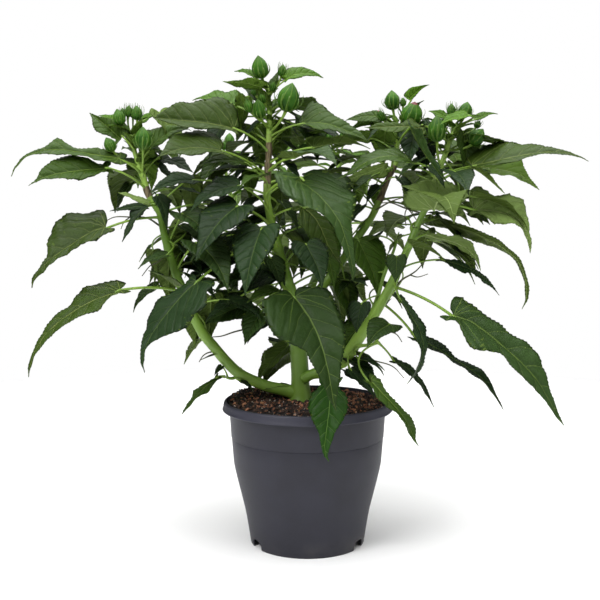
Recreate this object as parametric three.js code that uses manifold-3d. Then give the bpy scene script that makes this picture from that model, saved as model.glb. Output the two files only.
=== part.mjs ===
// Hibiscus shrub in its nursery pot. Millimetres, +Z up, the front towards -Y.
// The origin is the centre of the pot's underside.
import * as THREE from 'three';
import Module from 'manifold-3d';
import { mergeVertices } from 'three/addons/utils/BufferGeometryUtils.js';

const wasm = await Module();
wasm.setup();
const { Manifold } = wasm;

// driving dimensions of the pot
const rimRadius = 105;
const potHeight = 177;
const rimBand = 11;
const wallThick = 2.2;
const floorUnder = 12;
const floorThick = 2.5;
const padRadius = 22;
const padSlope = 1.5;
const notchWidth = 20;
const notchHeight = 11;
const notchRound = 5;
const notchHeadings = [-150, -30, 90];
const potSides = 32;
// outer radius of the wall by height, from the foot to the step under the rim
const wall = [
  [0, 70.7], [18, 73.4], [40, 77.2], [62, 82.4], [86, 88.3], [102, 91.5], [131.8, 93.6],
  [132.7, 92.8], [133.6, 94.2], [146, 95.4], [158, 98.3],
];

// driving dimensions of the soil
const soilTop = 175.5;
const soilEdge = 168;
const soilFlat = 38;
const soilSides = 24;
const gap = 0.3;
// the least distance kept between a leaf and anything outside its mass
const margin = 0.25;
// edges shorter than this are merged in a finished mass
const tidy = 0.2;

// how leaves and buds grow
const petioleArch = 26;
const pedicelArch = -40;
const foldAngle = 16;
const steps = 24;
const splineSteps = 24;
// stations along a petiole: place, share of its radius
const stalkStations = [[0, 1.1], [0.5, 0.95], [0.98, 0.9]];
// stations along a blade: place on the midrib, share of the half width, how far the edge reaches back
const bladeStations = [[0.05, 0.72, 0.1], [0.27, 1, 0.02], [0.62, 0.54, 0]];
const bladeThick = 0.022;
const bladeThickBase = 0.5;
const petioleThin = 0.75;
const petioleThick = 0.0085;
// rings of a bud: share of its height, share of its radius
const budRings = [[0.08, 0.66], [0.42, 1], [0.78, 0.62]];
const budSides = 5;
const stemSides = 6;
// a stem is skinned with a ring at each of this many path steps
const ringEvery = 12;

const colors = {
  pot: 0x46464e,
  soil: 0x3b2a20,
  limb: 0x6f9a4d,
  foliage: 0x35532f,
};

// stems: control points x, y, z and the radius there, from the soil to the tip
const stems = {
  "center": [
    [-8, -6, 176.3, 10.4], [-10.7, -6, 237.2, 9.8], [-16.8, -4, 287.5, 8.3], [-25.1, -2, 325.4, 7],
    [-37.3, 1, 370.5, 5.6], [-48.7, 3, 419.2, 4.2], [-48.9, 4, 449.5, 3.9], [-47.1, 4, 476, 3.7],
    [-46.8, 4, 497.7, 3.6], [-45.6, 5, 528.9, 2.8], [-49.1, 5, 562.3, 1.9],
  ],
  "right": [
    [-5.5, -6, 203.7, 7.2], [7.9, -13, 214.7, 6.8], [26, -20, 220.8, 7], [45, -27, 232.8, 8.2],
    [62.7, -30, 259.9, 7.2], [79.3, -31, 285.3, 6.2], [97.5, -32, 317.8, 5.4], [109.8, -31, 343.9, 4.9],
    [123, -28, 373.6, 4.3], [133.1, -26, 397.3, 3.9], [143.2, -24, 419.9, 3.6], [155.2, -21, 453.1, 3.4],
    [164.8, -18, 479.3, 2.7], [176.6, -16, 512.4, 1.9],
  ],
  "middle": [
    [-16.6, -2, 260.1, 6], [-3, 6, 285.3, 6.2], [14.3, 10, 311, 6], [38, 17, 340.4, 5.5],
    [60.7, 25, 373.7, 4.9], [79.6, 30, 401, 4.2], [91.7, 35, 426, 3.9], [101.2, 38, 449.8, 3.5],
    [111.3, 40, 471.1, 3.4], [113.1, 41, 492.2, 2.9], [120.9, 42, 533.2, 1.9],
  ],
  "left": [
    [-12.9, -6, 186.2, 7.6], [-33.8, -8, 191.6, 8.2], [-55.8, -10, 199.4, 8.4], [-86, -15, 221.2, 7.6],
    [-113.4, -19, 246.3, 6.7], [-131.2, -21, 269.7, 6], [-149.7, -24, 312.4, 5.4], [-164.8, -24, 356.8, 4.9],
    [-172.2, -23, 385.4, 4.3], [-177.1, -21, 408, 4.1], [-189.7, -19, 427.1, 3.8], [-196.9, -17, 449.7, 3.5],
    [-206.6, -14, 478.4, 2.8], [-211.2, -13, 503.3, 1.9],
  ],
  "back-left": [
    [-15.3, -4, 264.1, 5.2], [-22.9, 18, 281.6, 5.6], [-48.1, 66, 312, 4.9], [-73.3, 104, 342.7, 4.2],
    [-91, 134, 387.8, 3.5], [-105.5, 150, 435.6, 2.9], [-115.3, 156, 483.7, 1.9],
  ],
  "back-right": [
    [-11.7, -4, 266.6, 5.2], [-4.2, 24, 288.6, 5.6], [11.7, 76, 325.7, 4.9], [28.5, 118, 363.7, 4.2],
    [37.6, 148, 412.3, 3.5], [43.6, 164, 454, 2.9], [42.4, 172, 493.1, 1.9],
  ],
  "low-right": [
    [53.3, -28, 243.9, 2.4], [61.1, -38, 248.9, 2.2], [71.6, -41, 250.5, 1.8], [85.9, -40, 254, 1.3],
  ],
  "right-side": [
    [74.6, -30, 279.2, 2.7], [78.9, -20, 291.5, 2.5], [85.8, -9, 306.3, 2.4], [93.5, -2, 331.5, 2.2],
    [105.4, 3, 360.7, 1.8], [112.1, 5, 383.9, 1.3],
  ],
  "low-front": [
    [-8, -6, 219.8, 2.4], [-4.3, -20, 224.5, 2.3], [1.6, -36, 225.7, 2], [7.2, -56, 221.7, 1.4],
  ],
  "low-left": [
    [-82.4, -14, 218.6, 2.2], [-86.3, -12, 208.4, 2.1], [-93.5, -13, 205.5, 1.8], [-101.8, -16, 208.5, 1.3],
  ],
  "low-back": [
    [-10.4, 0, 221.4, 2.4], [-10.4, 14, 223, 2.2], [-13, 28, 226, 1.8], [-16.9, 42, 230.4, 1.3],
  ],
};

// bare limbs: stretches of a stem between two of its control points
const limbs = {
  "main-stem": {"stem": "center", "from": 0, "to": 2},
  "elbow-limb": {"stem": "right", "from": 0, "to": 3},
  "right-bough": {"stem": "right", "from": 3, "to": 6},
  "middle-bough": {"stem": "middle", "from": 0, "to": 5},
  "left-bough": {"stem": "left", "from": 0, "to": 5},
  "back-left-bough": {"stem": "back-left", "from": 0, "to": 3},
  "back-right-bough": {"stem": "back-right", "from": 0, "to": 3},
};

// foliage masses: a leafy stretch of stem, its measured leaves and buds, and the leaves grown by rule.
// leaf: place on the stem, heading, rise, petiole, turn, pitch, droop, blade, width share, roll
// bud: place on the stem, heading, rise, pedicel, height, width
const masses = {
  "crown-center-lower": {
    "stem": "center", "from": 2, "to": 5,
    "leaves": [
      [0.95, -100, 17, 114, 64, -44, 35, 135, 0.78, 36], [0.29, -112, -11, 82, 59, -47, 25, 143, 0.64, 30],
      [0.86, -40, 16, 50, 12, -38, 35, 86, 0.55, 10], [0.35, -119, -43, 63, -16, -46, 20, 48, 0.62, -10],
      [0.41, -62, -36, 46, -72, 1, 30, 56, 0.6, -10], [0.74, -126, -26, 131, -25, -47, 25, 120, 0.68, -42],
      [0.19, 168, -29, 63, 6, -4, 40, 59, 0.62, -20], [0.76, -119, 22, 73, -15, -26, 45, 92, 0.62, -20],
      [0.57, -100, 22, 71, -12, -42, 40, 89, 0.62, 0], [0.9, -112, 33, 61, -41, -8, 45, 72, 0.58, -25],
      [0.41, -64, 25, 70, -1, -34, 40, 67, 0.6, 10], [0.66, 14, 26, 38, 2, -9, 50, 61, 0.6, 30],
      [0.19, 97, 20, 72, -77, -26, 50, 65, 0.6, 20],
    ],
    "buds": [],
    "more": {"count": 6, "seed": 7, "low": 0.15, "high": 0.9, "aim": 112, "spread": 150,
      "petiole": 70, "blade": 118, "skip": []},
  },
  "crown-center-upper": {
    "stem": "center", "from": 5, "to": 10,
    "leaves": [
      [0.55, -31, 19, 47, 19, 3, 45, 84, 0.55, 38], [0.42, -131, 30, 56, -37, 16, 24, 96, 0.66, -46],
      [0.33, -37, 15, 68, 10, 13, 40, 74, 0.55, -12], [0.22, -133, 23, 74, -17, 10, 40, 79, 0.64, -40],
      [0.93, -94, 20, 15, -64, 15, 25, 49, 0.46, -8], [0.88, -25, 46, 30, 32, 29, 60, 49, 0.5, 34],
      [0.97, 153, 39, 18, 11, 38, 45, 32, 0.5, -35], [0.63, 155, 33, 52, 2, 28, 45, 67, 0.6, -30],
      [0.7, -167, 16, 33, 31, 60, 10, 29, 0.5, -10], [0.45, 45, 43, 44, 21, 1, 60, 70, 0.6, 0],
      [0.46, 123, 40, 45, -7, 13, 60, 70, 0.6, 0], [0.26, -62, 12, 67, 6, 14, 55, 86, 0.6, 8],
      [0.15, -143, 44, 38, -23, 14, 45, 59, 0.55, -32], [0.11, -76, 27, 33, -47, -2, 40, 46, 0.6, 0],
      [0.07, -175, 10, 94, 30, -1, 35, 61, 0.55, -25],
    ],
    "buds": [
      [0.97, -119, 38, 16, 27, 19.5], [0.91, -4, 54, 27, 15, 10], [0.6, -42, 40, 36, 34, 26],
      [0.63, -109, 19, 30, 24, 15], [0.66, -136, 23, 33, 16, 12],
    ],
    "more": {"count": 5, "seed": 2, "low": 0.1, "high": 0.75, "aim": 90, "spread": 170,
      "petiole": 62, "blade": 100, "skip": []},
  },
  "crown-right-lower": {
    "stem": "right", "from": 6, "to": 9,
    "leaves": [
      [0.81, 116, 19, 55, -122, -11, 82, 171, 0.42, -48], [0.63, 69, 52, 22, -77, -1, 75, 95, 0.42, -20],
      [0.72, 101, -1, 64, -84, -25, 42, 87, 0.46, 24], [0.36, -95, 48, 31, 68, -7, 40, 47, 0.6, -20],
      [0.19, 69, 14, 74, -87, -18, 32, 83, 0.3, 52], [0.03, -29, -24, 84, 15, -33, 26, 178, 0.44, 30],
      [0.13, -89, -50, 30, 34, -47, 84, 109, 0.34, -10], [0.1, -49, 57, 37, -60, -71, 12, 32, 0.8, 0],
      [0.89, 62, 20, 51, -15, 7, 50, 47, 0.55, 0], [0.73, 47, 10, 99, 96, -10, 35, 50, 0.5, -20],
    ],
    "buds": [],
    "more": {"count": 4, "seed": 1, "low": 0.1, "high": 0.9, "aim": 80, "spread": 160,
      "petiole": 66, "blade": 112, "skip": [0, 1, 2]},
  },
  "crown-right-upper": {
    "stem": "right", "from": 9, "to": 13,
    "leaves": [
      [0.84, 137, 28, 38, 46, 21, 55, 75, 0.36, -22], [0.37, -6, 26, 50, -8, 16, 34, 134, 0.44, 40],
      [0.55, 28, 4, 42, -10, 9, 60, 106, 0.45, 22], [0.45, -12, 15, 46, -39, -12, 50, 62, 0.5, 5],
      [0.52, -30, -5, 29, -54, -10, 40, 65, 0.8, 0], [0.49, -137, 15, 49, -22, 5, 45, 96, 0.38, -20],
      [0.13, -77, -3, 34, -6, 36, 115, 100, 0.75, 0], [0.17, -32, -6, 57, 36, -7, 72, 92, 0.72, 38],
      [0.26, 55, 0, 66, -22, 23, 30, 46, 0.5, 30], [0.88, 58, 62, 20, 89, 44, 40, 31, 0.45, -30],
      [0.92, 17, 28, 34, -1, 30, 40, 31, 0.45, 30], [0.88, -142, 4, 16, 118, 50, 20, 27, 0.6, 10],
      [0.74, 109, -17, 36, 18, -6, 60, 42, 0.6, -10], [0.66, 63, 13, 54, -9, 20, 55, 75, 0.55, 10],
    ],
    "buds": [
      [0.55, -114, 63, 34, 31, 20], [0.74, 14, 11, 25, 25, 20], [0.96, 151, 72, 15, 15, 11],
      [0.96, -20, 49, 17, 18, 16],
    ],
    "more": {"count": 5, "seed": 4, "low": 0.1, "high": 0.75, "aim": 75, "spread": 170,
      "petiole": 60, "blade": 100, "skip": [1]},
  },
  "crown-middle": {
    "stem": "middle", "from": 5, "to": 10,
    "leaves": [
      [0.78, -119, 54, 27, -80, 21, 52, 58, 0.5, -40], [0.45, -92, 31, 95, 25, -18, 52, 114, 0.42, -30],
      [0.57, 152, 45, 19, -41, 36, 50, 48, 0.6, 0], [0.49, -95, -9, 17, -91, -1, 35, 58, 0.42, -20],
      [0.49, 105, 4, 36, -75, 7, 35, 54, 0.5, 20], [0.09, 167, 42, 41, -19, 36, 50, 43, 0.55, -30],
      [0.21, 36, -20, 17, -6, -2, 50, 41, 0.25, 0], [0.95, -11, 64, 23, 1, 44, 10, 30, 0.5, 30],
    ],
    "buds": [
      [0.86, -152, 61, 25, 24, 18.5], [0.74, -55, 33, 31, 29, 25],
    ],
    "more": {"count": 5, "seed": 9, "low": 0.1, "high": 0.85, "aim": 105, "spread": 150,
      "petiole": 56, "blade": 92, "skip": []},
  },
  "crown-left-lower": {
    "stem": "left", "from": 5, "to": 8,
    "leaves": [
      [0.38, -149, 3, 77, -16, -24, 46, 148, 0.36, -26], [0.91, -7, -29, 35, -149, -6, 45, 40, 0.52, -22],
      [0.38, -70, 21, 26, -67, 35, 20, 43, 0.8, -10], [0.46, 72, -4, 51, 134, -24, 50, 47, 0.46, -15],
      [0.58, -43, 43, 54, -4, -24, 45, 83, 0.62, 10], [0.83, 14, 63, 46, -61, -17, 45, 73, 0.6, 10],
      [0.21, 11, 12, 51, -48, -5, 45, 59, 0.55, 10], [0.21, -13, -50, 50, 142, -31, 20, 63, 0.42, -20],
    ],
    "buds": [],
    "more": {"count": 5, "seed": 6, "low": 0.1, "high": 0.9, "aim": 115, "spread": 130,
      "petiole": 60, "blade": 106, "skip": [2]},
  },
  "crown-left-upper": {
    "stem": "left", "from": 8, "to": 13,
    "leaves": [
      [0.58, -131, 30, 34, -34, 10, 48, 128, 0.4, -36], [0.43, -130, 26, 56, -26, -2, 28, 94, 0.42, -34],
      [0.13, -151, -11, 68, -11, -20, 45, 112, 0.68, -40], [0.21, -121, 33, 32, 71, -52, 30, 50, 0.6, 0],
      [0.26, -46, 4, 37, -97, 20, 10, 41, 0.45, -60], [0.24, -114, 3, 17, -44, 0, 20, 43, 0.3, -50],
      [0.22, -51, 7, 28, -104, -39, 30, 55, 0.34, -20], [0.47, 57, 20, 43, 100, -25, 62, 64, 1, 0],
      [0.7, -86, 54, 38, -121, 39, 18, 58, 0.66, -20], [0.66, -25, 56, 27, 32, 35, 30, 53, 0.5, 20],
      [0.55, 70, 50, 33, -84, -9, 35, 49, 0.4, 15], [0.87, 117, 47, 43, 40, 24, 20, 30, 0.5, -30],
      [0.83, 117, 58, 41, -87, 48, 20, 23, 0.55, 30], [0.38, 73, 11, 52, 2, -13, 55, 59, 0.6, 0],
    ],
    "buds": [
      [0.67, -179, 28, 36, 20, 14.5], [0.94, -150, 48, 21, 19, 14.5], [0.98, 164, 79, 21, 14, 10],
      [0.94, -7, 73, 23, 17, 13], [0.58, -76, 61, 33, 27, 19.5],
    ],
    "more": {"count": 5, "seed": 16, "low": 0.1, "high": 0.75, "aim": 105, "spread": 170,
      "petiole": 58, "blade": 96, "skip": [1]},
  },
  "crown-back-left": {
    "stem": "back-left", "from": 3, "to": 6,
    "leaves": [],
    "buds": [
      [0.98, -150, 56, 20, 22, 17], [0.98, 30, 66, 22, 18, 14],
    ],
    "more": {"count": 13, "seed": 8, "low": 0.08, "high": 0.96, "aim": 110, "spread": 340,
      "petiole": 68, "blade": 112, "skip": [0]},
  },
  "crown-back-right": {
    "stem": "back-right", "from": 3, "to": 6,
    "leaves": [],
    "buds": [
      [0.97, -149, 58, 19, 22, 17], [0.97, 35, 57, 22, 19, 15],
    ],
    "more": {"count": 13, "seed": 15, "low": 0.08, "high": 0.96, "aim": 75, "spread": 340,
      "petiole": 68, "blade": 112, "skip": [2, 3, 7]},
  },
  "low-right-spray": {
    "stem": "low-right", "from": 0, "to": 3,
    "leaves": [
      [0.94, 39, -48, 32, -44, -38, 26, 75, 0.34, 12], [0.38, -139, -32, 73, 117, -26, 52, 91, 0.4, 14],
      [0.33, -157, -40, 21, 129, -3, 60, 40, 0.36, 5], [0.31, -172, -40, 39, 124, -28, 15, 47, 0.34, 10],
      [0.81, 26, 35, 45, -149, -9, 30, 59, 0.6, -20],
    ],
    "buds": [],
  },
  "right-side-spray": {
    "stem": "right-side", "from": 0, "to": 5,
    "leaves": [
      [0.26, -11, -44, 67, -4, -23, 36, 136, 0.34, 14], [0.3, -109, -5, 53, -14, -65, 15, 36, 0.85, 0],
      [0.56, -212, -11, 44, 67, -32, 30, 30, 0.7, 0], [0.58, 119, -26, 23, 44, -14, 40, 31, 0.6, -20],
      [0.85, 99, 21, 34, 45, -31, 40, 53, 0.6, -20],
    ],
    "buds": [],
  },
  "low-front-spray": {
    "stem": "low-front", "from": 0, "to": 3,
    "leaves": [
      [0.93, -42, -12, 48, -54, -60, 14, 87, 0.56, 6], [0.41, -130, -47, 37, -22, 5, 20, 38, 0.45, -20],
    ],
    "buds": [],
  },
  "low-left-spray": {
    "stem": "low-left", "from": 0, "to": 3,
    "leaves": [
      [0.97, -147, 2, 10, -15, -33, 28, 63, 0.36, -40], [0.82, -113, 54, 20, -18, -30, 20, 17, 0.5, -20],
    ],
    "buds": [],
  },
  "low-back-spray": {
    "stem": "low-back", "from": 0, "to": 3,
    "leaves": [
      [0.84, 132, 8, 13, 13, -36, 35, 62, 0.85, 20],
    ],
    "buds": [],
    "more": {"count": 4, "seed": 8, "low": 0.3, "high": 1, "aim": 60, "spread": 168,
      "petiole": 58, "blade": 118, "skip": [0]},
  },
};

const radians = Math.PI / 180;

// a seeded draw between 0 and 1
function seeded(seed) {
  let state = seed;
  return () => {
    state = (Math.imul(state, 1664525) + 1013904223) >>> 0;
    return state / 4294967296;
  };
}

function add(a, b, k = 1) {
  return [a[0] + b[0] * k, a[1] + b[1] * k, a[2] + b[2] * k];
}

function cross(a, b) {
  return [a[1] * b[2] - a[2] * b[1], a[2] * b[0] - a[0] * b[2], a[0] * b[1] - a[1] * b[0]];
}

function dot(a, b) {
  return a[0] * b[0] + a[1] * b[1] + a[2] * b[2];
}

function unit(a) {
  const length = Math.hypot(...a);
  return [a[0] / length, a[1] / length, a[2] / length];
}

// a stem's smooth path as [x, y, z, radius] through its control points
function stemPath(points) {
  const path = [];
  const last = points.length - 1;
  for (let i = 0; i < last; i += 1) {
    const b = points[i];
    const c = points[i + 1];
    const a = i > 0 ? points[i - 1] : b.map((v, k) => 2 * v - c[k]);
    const d = i + 2 <= last ? points[i + 2] : c.map((v, k) => 2 * v - b[k]);
    for (let j = 0; j < splineSteps; j += 1) {
      const t = j / splineSteps;
      path.push(b.map((v, k) => (k === 3
        ? v + (c[k] - v) * t
        : 0.5 * (2 * v + (c[k] - a[k]) * t + (2 * a[k] - 5 * v + 4 * c[k] - d[k]) * t * t
          + (3 * v - a[k] - 3 * c[k] + d[k]) * t * t * t))));
    }
  }
  path.push(points[last]);
  return path;
}

function pointAt(path, share) {
  const lengths = [0];
  for (let i = 1; i < path.length; i += 1) {
    const a = path[i - 1];
    const b = path[i];
    lengths.push(lengths[i - 1] + Math.hypot(b[0] - a[0], b[1] - a[1], b[2] - a[2]));
  }
  const want = share * lengths[lengths.length - 1];
  let i = 0;
  while (i < path.length - 2 && lengths[i + 1] < want) i += 1;
  const k = (want - lengths[i]) / (lengths[i + 1] - lengths[i]);
  return path[i].map((v, n) => v + (path[i + 1][n] - v) * k);
}

// a unit vector from its heading and its angle to the ground, both in degrees
function direction(heading, angle) {
  const level = Math.cos(angle * radians);
  return [level * Math.cos(heading * radians), level * Math.sin(heading * radians), Math.sin(angle * radians)];
}

// a curve of even steps whose heading and angle to the ground change on the way
function curve(start, headingAt, angleAt, length) {
  const points = [start.slice(0, 3)];
  for (let i = 0; i < steps; i += 1) {
    const t = (i + 0.5) / steps;
    points.push(add(points[i], direction(headingAt(t), angleAt(t)), length / steps));
  }
  return points;
}

function alongCurve(points, t) {
  const place = Math.min(steps - 1e-9, t * steps);
  const i = Math.floor(place);
  return points[i].map((v, k) => v + (points[i + 1][k] - v) * (place - i));
}

// a closed skin over rings of points; a ring of one point closes an end
function loft(rings) {
  const vertices = [];
  const triangles = [];
  const starts = rings.map((ring) => {
    const start = vertices.length / 3;
    ring.forEach((p) => vertices.push(...p));
    return start;
  });
  for (let r = 0; r + 1 < rings.length; r += 1) {
    const n = Math.max(rings[r].length, rings[r + 1].length);
    for (let i = 0; i < n; i += 1) {
      const j = (i + 1) % n;
      const a = starts[r] + (rings[r].length > 1 ? i : 0);
      const b = starts[r] + (rings[r].length > 1 ? j : 0);
      const c = starts[r + 1] + (rings[r + 1].length > 1 ? i : 0);
      const d = starts[r + 1] + (rings[r + 1].length > 1 ? j : 0);
      if (a !== b) triangles.push(a, b, c);
      if (c !== d) triangles.push(b, d, c);
    }
  }
  const first = rings[0].length;
  for (let i = 1; i + 1 < first; i += 1) triangles.push(starts[0], starts[0] + i + 1, starts[0] + i);
  const end = starts[rings.length - 1];
  const lastCount = rings[rings.length - 1].length;
  for (let i = 1; i + 1 < lastCount; i += 1) triangles.push(end, end + i, end + i + 1);
  return closed(vertices, triangles);
}

// a manifold body from vertices and triangles, turned right side out
function closed(vertices, triangles) {
  let volume = 0;
  for (let i = 0; i < triangles.length; i += 3) {
    const [a, b, c] = [0, 1, 2].map((k) => vertices.slice(triangles[i + k] * 3, triangles[i + k] * 3 + 3));
    volume += dot(a, cross(b, c));
  }
  const order = volume > 0 ? [0, 1, 2] : [0, 2, 1];
  const turned = [];
  for (let i = 0; i < triangles.length; i += 3) order.forEach((k) => turned.push(triangles[i + k]));
  return new Manifold(new wasm.Mesh({
    numProp: 3,
    vertProperties: new Float32Array(vertices),
    triVerts: new Uint32Array(turned),
  }));
}

function fromGeometry(geometry) {
  const plain = geometry.clone();
  plain.deleteAttribute('normal');
  plain.deleteAttribute('uv');
  const welded = mergeVertices(plain, 1e-4);
  return closed(Array.from(welded.attributes.position.array), Array.from(welded.index.array));
}

// a round limb along a path of [x, y, z, radius], cut square to the path at both ends
function tube(path, extra = 0) {
  const last = path.length - 1;
  let side = null;
  const rings = [];
  path.forEach((p, i) => {
    const along = unit(add(path[Math.min(last, i + 1)], path[Math.max(0, i - 1)], -1).slice(0, 3));
    const guess = side || (Math.abs(along[2]) > 0.9 ? [1, 0, 0] : [0, 0, 1]);
    side = unit(add(guess, along, -dot(guess, along)));
    if (i % ringEvery !== 0 && i !== last) return;
    const other = cross(along, side);
    rings.push(Array.from({ length: stemSides }, (_, k) => {
      const turn = (k / stemSides) * 2 * Math.PI;
      const out = add(side.map((v) => v * Math.cos(turn)), other, Math.sin(turn));
      return add(p, out, p[3] + extra);
    }));
  });
  return loft(rings);
}

// the stretch of a stem between two control points, drawn back from its neighbours by half the gap
function stretch(name, from, to) {
  const points = stems[name];
  const path = stemPath(points).slice(from * splineSteps, to * splineSteps + 1);
  const ends = [[0, 1, from > 0], [path.length - 1, path.length - 2, to < points.length - 1]];
  ends.forEach(([end, next, joined]) => {
    if (!joined) return;
    const along = unit(add(path[next], path[end], -1).slice(0, 3));
    path[end] = [...add(path[end], along, gap / 2), path[end][3]];
  });
  return path;
}

// the leaves that a mass grows by rule beside its measured ones
function ruledLeaves(more) {
  const draw = seeded(more.seed);
  const rows = [];
  for (let i = 0; i < more.count; i += 1) {
    const [a, b, c, d, e, f, g, h, r] = Array.from({ length: 9 }, draw);
    const at = more.low + ((more.high - more.low) * (i + 0.5)) / more.count;
    const rise = 2 + 40 * at + 16 * (b - 0.5);
    rows.push([
      at, more.aim + ((i * 137.5) % more.spread) - more.spread / 2 + 14 * (a - 0.5), rise,
      more.petiole * (1 - 0.5 * at) * (0.85 + 0.3 * c), 30 * (d - 0.5), rise * 0.35 - 6 + 14 * (e - 0.5),
      38 + 32 * f, more.blade * (1 - 0.45 * at) * (0.85 + 0.3 * g), 0.5 + 0.12 * h, 34 * (r - 0.5),
    ]);
  }
  return rows.filter((_, i) => !more.skip.includes(i));
}

// directions at one place of a leaf: along it, across it and up from its face
function leafFrame(heading, angle, roll) {
  const along = direction(heading, angle);
  const flat = [-Math.sin(heading * radians), Math.cos(heading * radians), 0];
  const up = cross(along, flat);
  const [c, s] = [Math.cos(roll * radians), Math.sin(roll * radians)];
  return { along, across: add(flat.map((v) => v * c), up, s), up: add(up.map((v) => v * c), flat, -s) };
}

// a leaf is one skin: a thin petiole that widens into a blade folded along its midrib
function leaf(path, row) {
  const [at, heading, rise, petiole, turn, pitch, droop, blade, width, roll] = row;
  const headingAt = (t) => heading + turn * t;
  const stalkAngle = (t) => rise + petioleArch * (0.5 - t);
  const bladeAngle = (t) => pitch - droop * t * (0.5 + 0.5 * t);
  const stalk = curve(pointAt(path, at), headingAt, stalkAngle, petiole);
  const midrib = curve(stalk[steps], () => heading + turn, bladeAngle, blade);
  const radius = petioleThin + blade * petioleThick;
  const stalkRings = stalkStations.map(([t, share]) => {
    const frame = leafFrame(headingAt(t), stalkAngle(t), roll * t);
    const middle = alongCurve(stalk, t);
    return [[frame.across, 1], [frame.up, 1], [frame.across, -1], [frame.up, -1]]
      .map(([way, sign]) => add(middle, way, sign * radius * share));
  });
  const thick = blade * bladeThick + bladeThickBase;
  const fold = [Math.cos(foldAngle * radians), Math.sin(foldAngle * radians)];
  const bladeRings = bladeStations.map(([t, share, back]) => {
    const frame = leafFrame(heading + turn, bladeAngle(t), roll);
    const middle = alongCurve(midrib, t);
    const half = (blade * width * share) / 2;
    const edge = (sign) => {
      const out = add(add(middle, frame.across, sign * half * fold[0]), frame.up, half * fold[1]);
      return add(out, frame.along, -back * blade);
    };
    return [edge(1), add(middle, frame.up, thick / 2), edge(-1), add(middle, frame.up, -thick / 2)];
  });
  return loft([...stalkRings, ...bladeRings, [midrib[steps]]]);
}

// a bud and its pedicel are one skin too
function bud(path, row) {
  const [at, heading, rise, pedicel, tall, wide] = row;
  const angleAt = (t) => rise + pedicelArch * (0.5 - t);
  const stalk = curve(pointAt(path, at), () => heading, angleAt, pedicel);
  const along = direction(heading, angleAt(1));
  const rings = [0, 0.5, 1].map((t) => [alongCurve(stalk, t), angleAt(t), petioleThin + wide * 0.03]);
  budRings.forEach(([t, share]) => rings.push([add(stalk[steps], along, tall * t), angleAt(1), (wide / 2) * share]));
  return loft([...rings.map(([middle, angle, radius]) => {
    const frame = leafFrame(heading, angle, 0);
    return Array.from({ length: budSides }, (_, k) => {
      const around = (k / budSides) * 2 * Math.PI;
      return add(add(middle, frame.across, Math.cos(around) * radius), frame.up, Math.sin(around) * radius);
    });
  }), [add(stalk[steps], along, tall)]]);
}

// the inside of the wall follows every second station, clear of the step
const innerWall = wall.filter(([z], i) => i % 2 === 0 && z > floorUnder + floorThick && z < potHeight * 0.7);

function makePot() {
  const outer = wall.map(([z, r]) => [r, z]);
  const rimUnder = potHeight - rimBand;
  const [topRadius, topZ] = outer[outer.length - 1];
  const rimInner = rimRadius - 5.5;
  const inner = innerWall.map(([z, r]) => [r - wallThick, z]).reverse();
  const profile = [
    [0, 0], [padRadius, 0], [padRadius + padSlope, floorUnder], [wall[1][1] - wallThick, floorUnder],
    [wall[0][1] - wallThick, 0], ...outer,
    [topRadius + 0.6, topZ + 2.5], [rimRadius - 1.2, rimUnder], [rimRadius, rimUnder + 1.2],
    [rimRadius, potHeight - 2], [rimRadius - 1.2, potHeight - 0.4], [rimInner + 2, potHeight],
    [rimInner, potHeight - 2.5], [topRadius - wallThick, topZ + 3],
    ...inner, [wall[1][1] - wallThick + 0.4, floorUnder + floorThick], [0, floorUnder + floorThick],
  ].map(([r, z]) => new THREE.Vector2(r, z));
  const turned = new THREE.LatheGeometry(profile, potSides);
  turned.rotateX(Math.PI / 2);
  let pot = fromGeometry(turned);
  const arch = new THREE.Shape();
  arch.moveTo(-notchWidth / 2, -2);
  arch.lineTo(notchWidth / 2, -2);
  arch.lineTo(notchWidth / 2, notchHeight - notchRound);
  arch.absarc(notchWidth / 2 - notchRound, notchHeight - notchRound, notchRound, 0, Math.PI / 2, false);
  arch.absarc(notchRound - notchWidth / 2, notchHeight - notchRound, notchRound, Math.PI / 2, Math.PI, false);
  notchHeadings.forEach((heading) => {
    const cutter = new THREE.ExtrudeGeometry(arch, { depth: 20, bevelEnabled: false, curveSegments: 5 });
    cutter.rotateX(Math.PI / 2);
    cutter.translate(0, 76, 0);
    cutter.rotateZ((heading - 90) * radians);
    pot = pot.subtract(fromGeometry(cutter));
  });
  return pot;
}

function makeSoil() {
  const clear = wallThick + 3 * gap;
  const low = floorUnder + floorThick + gap;
  const sides = innerWall.map(([z, r]) => [r - clear, z]);
  const profile = [
    [0, low], [wall[1][1] - clear, low], ...sides, [wall[wall.length - 1][1] - clear, soilEdge - 6],
    [wall[wall.length - 1][1] - clear, soilEdge], [78, soilEdge + 3.4], [56, soilTop - 1.2], [soilFlat, soilTop], [0, soilTop],
  ].map(([r, z]) => new THREE.Vector2(r, z));
  const turned = new THREE.LatheGeometry(profile, soilSides);
  turned.rotateX(Math.PI / 2);
  return fromGeometry(turned);
}

const group = new THREE.Group();

function place(name, body, color, roughness) {
  const { vertProperties, triVerts } = body.getMesh();
  const geometry = new THREE.BufferGeometry();
  geometry.setAttribute('position', new THREE.BufferAttribute(new Float32Array(vertProperties), 3));
  geometry.setIndex(Array.from(triVerts));
  geometry.computeVertexNormals();
  const mesh = new THREE.Mesh(geometry, new THREE.MeshStandardMaterial({ color, roughness, metalness: 0 }));
  mesh.name = name;
  group.add(mesh);
}

// the biggest piece of a body; loose scraps are dropped
function largest(body) {
  return body.decompose().sort((a, b) => b.volume() - a.volume())[0];
}

const placed = [];
const pot = makePot();
const soil = makeSoil();
placed.push(pot, soil);
place('pot', pot, colors.pot, 0.55);
place('soil', soil, colors.soil, 0.95);

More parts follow.
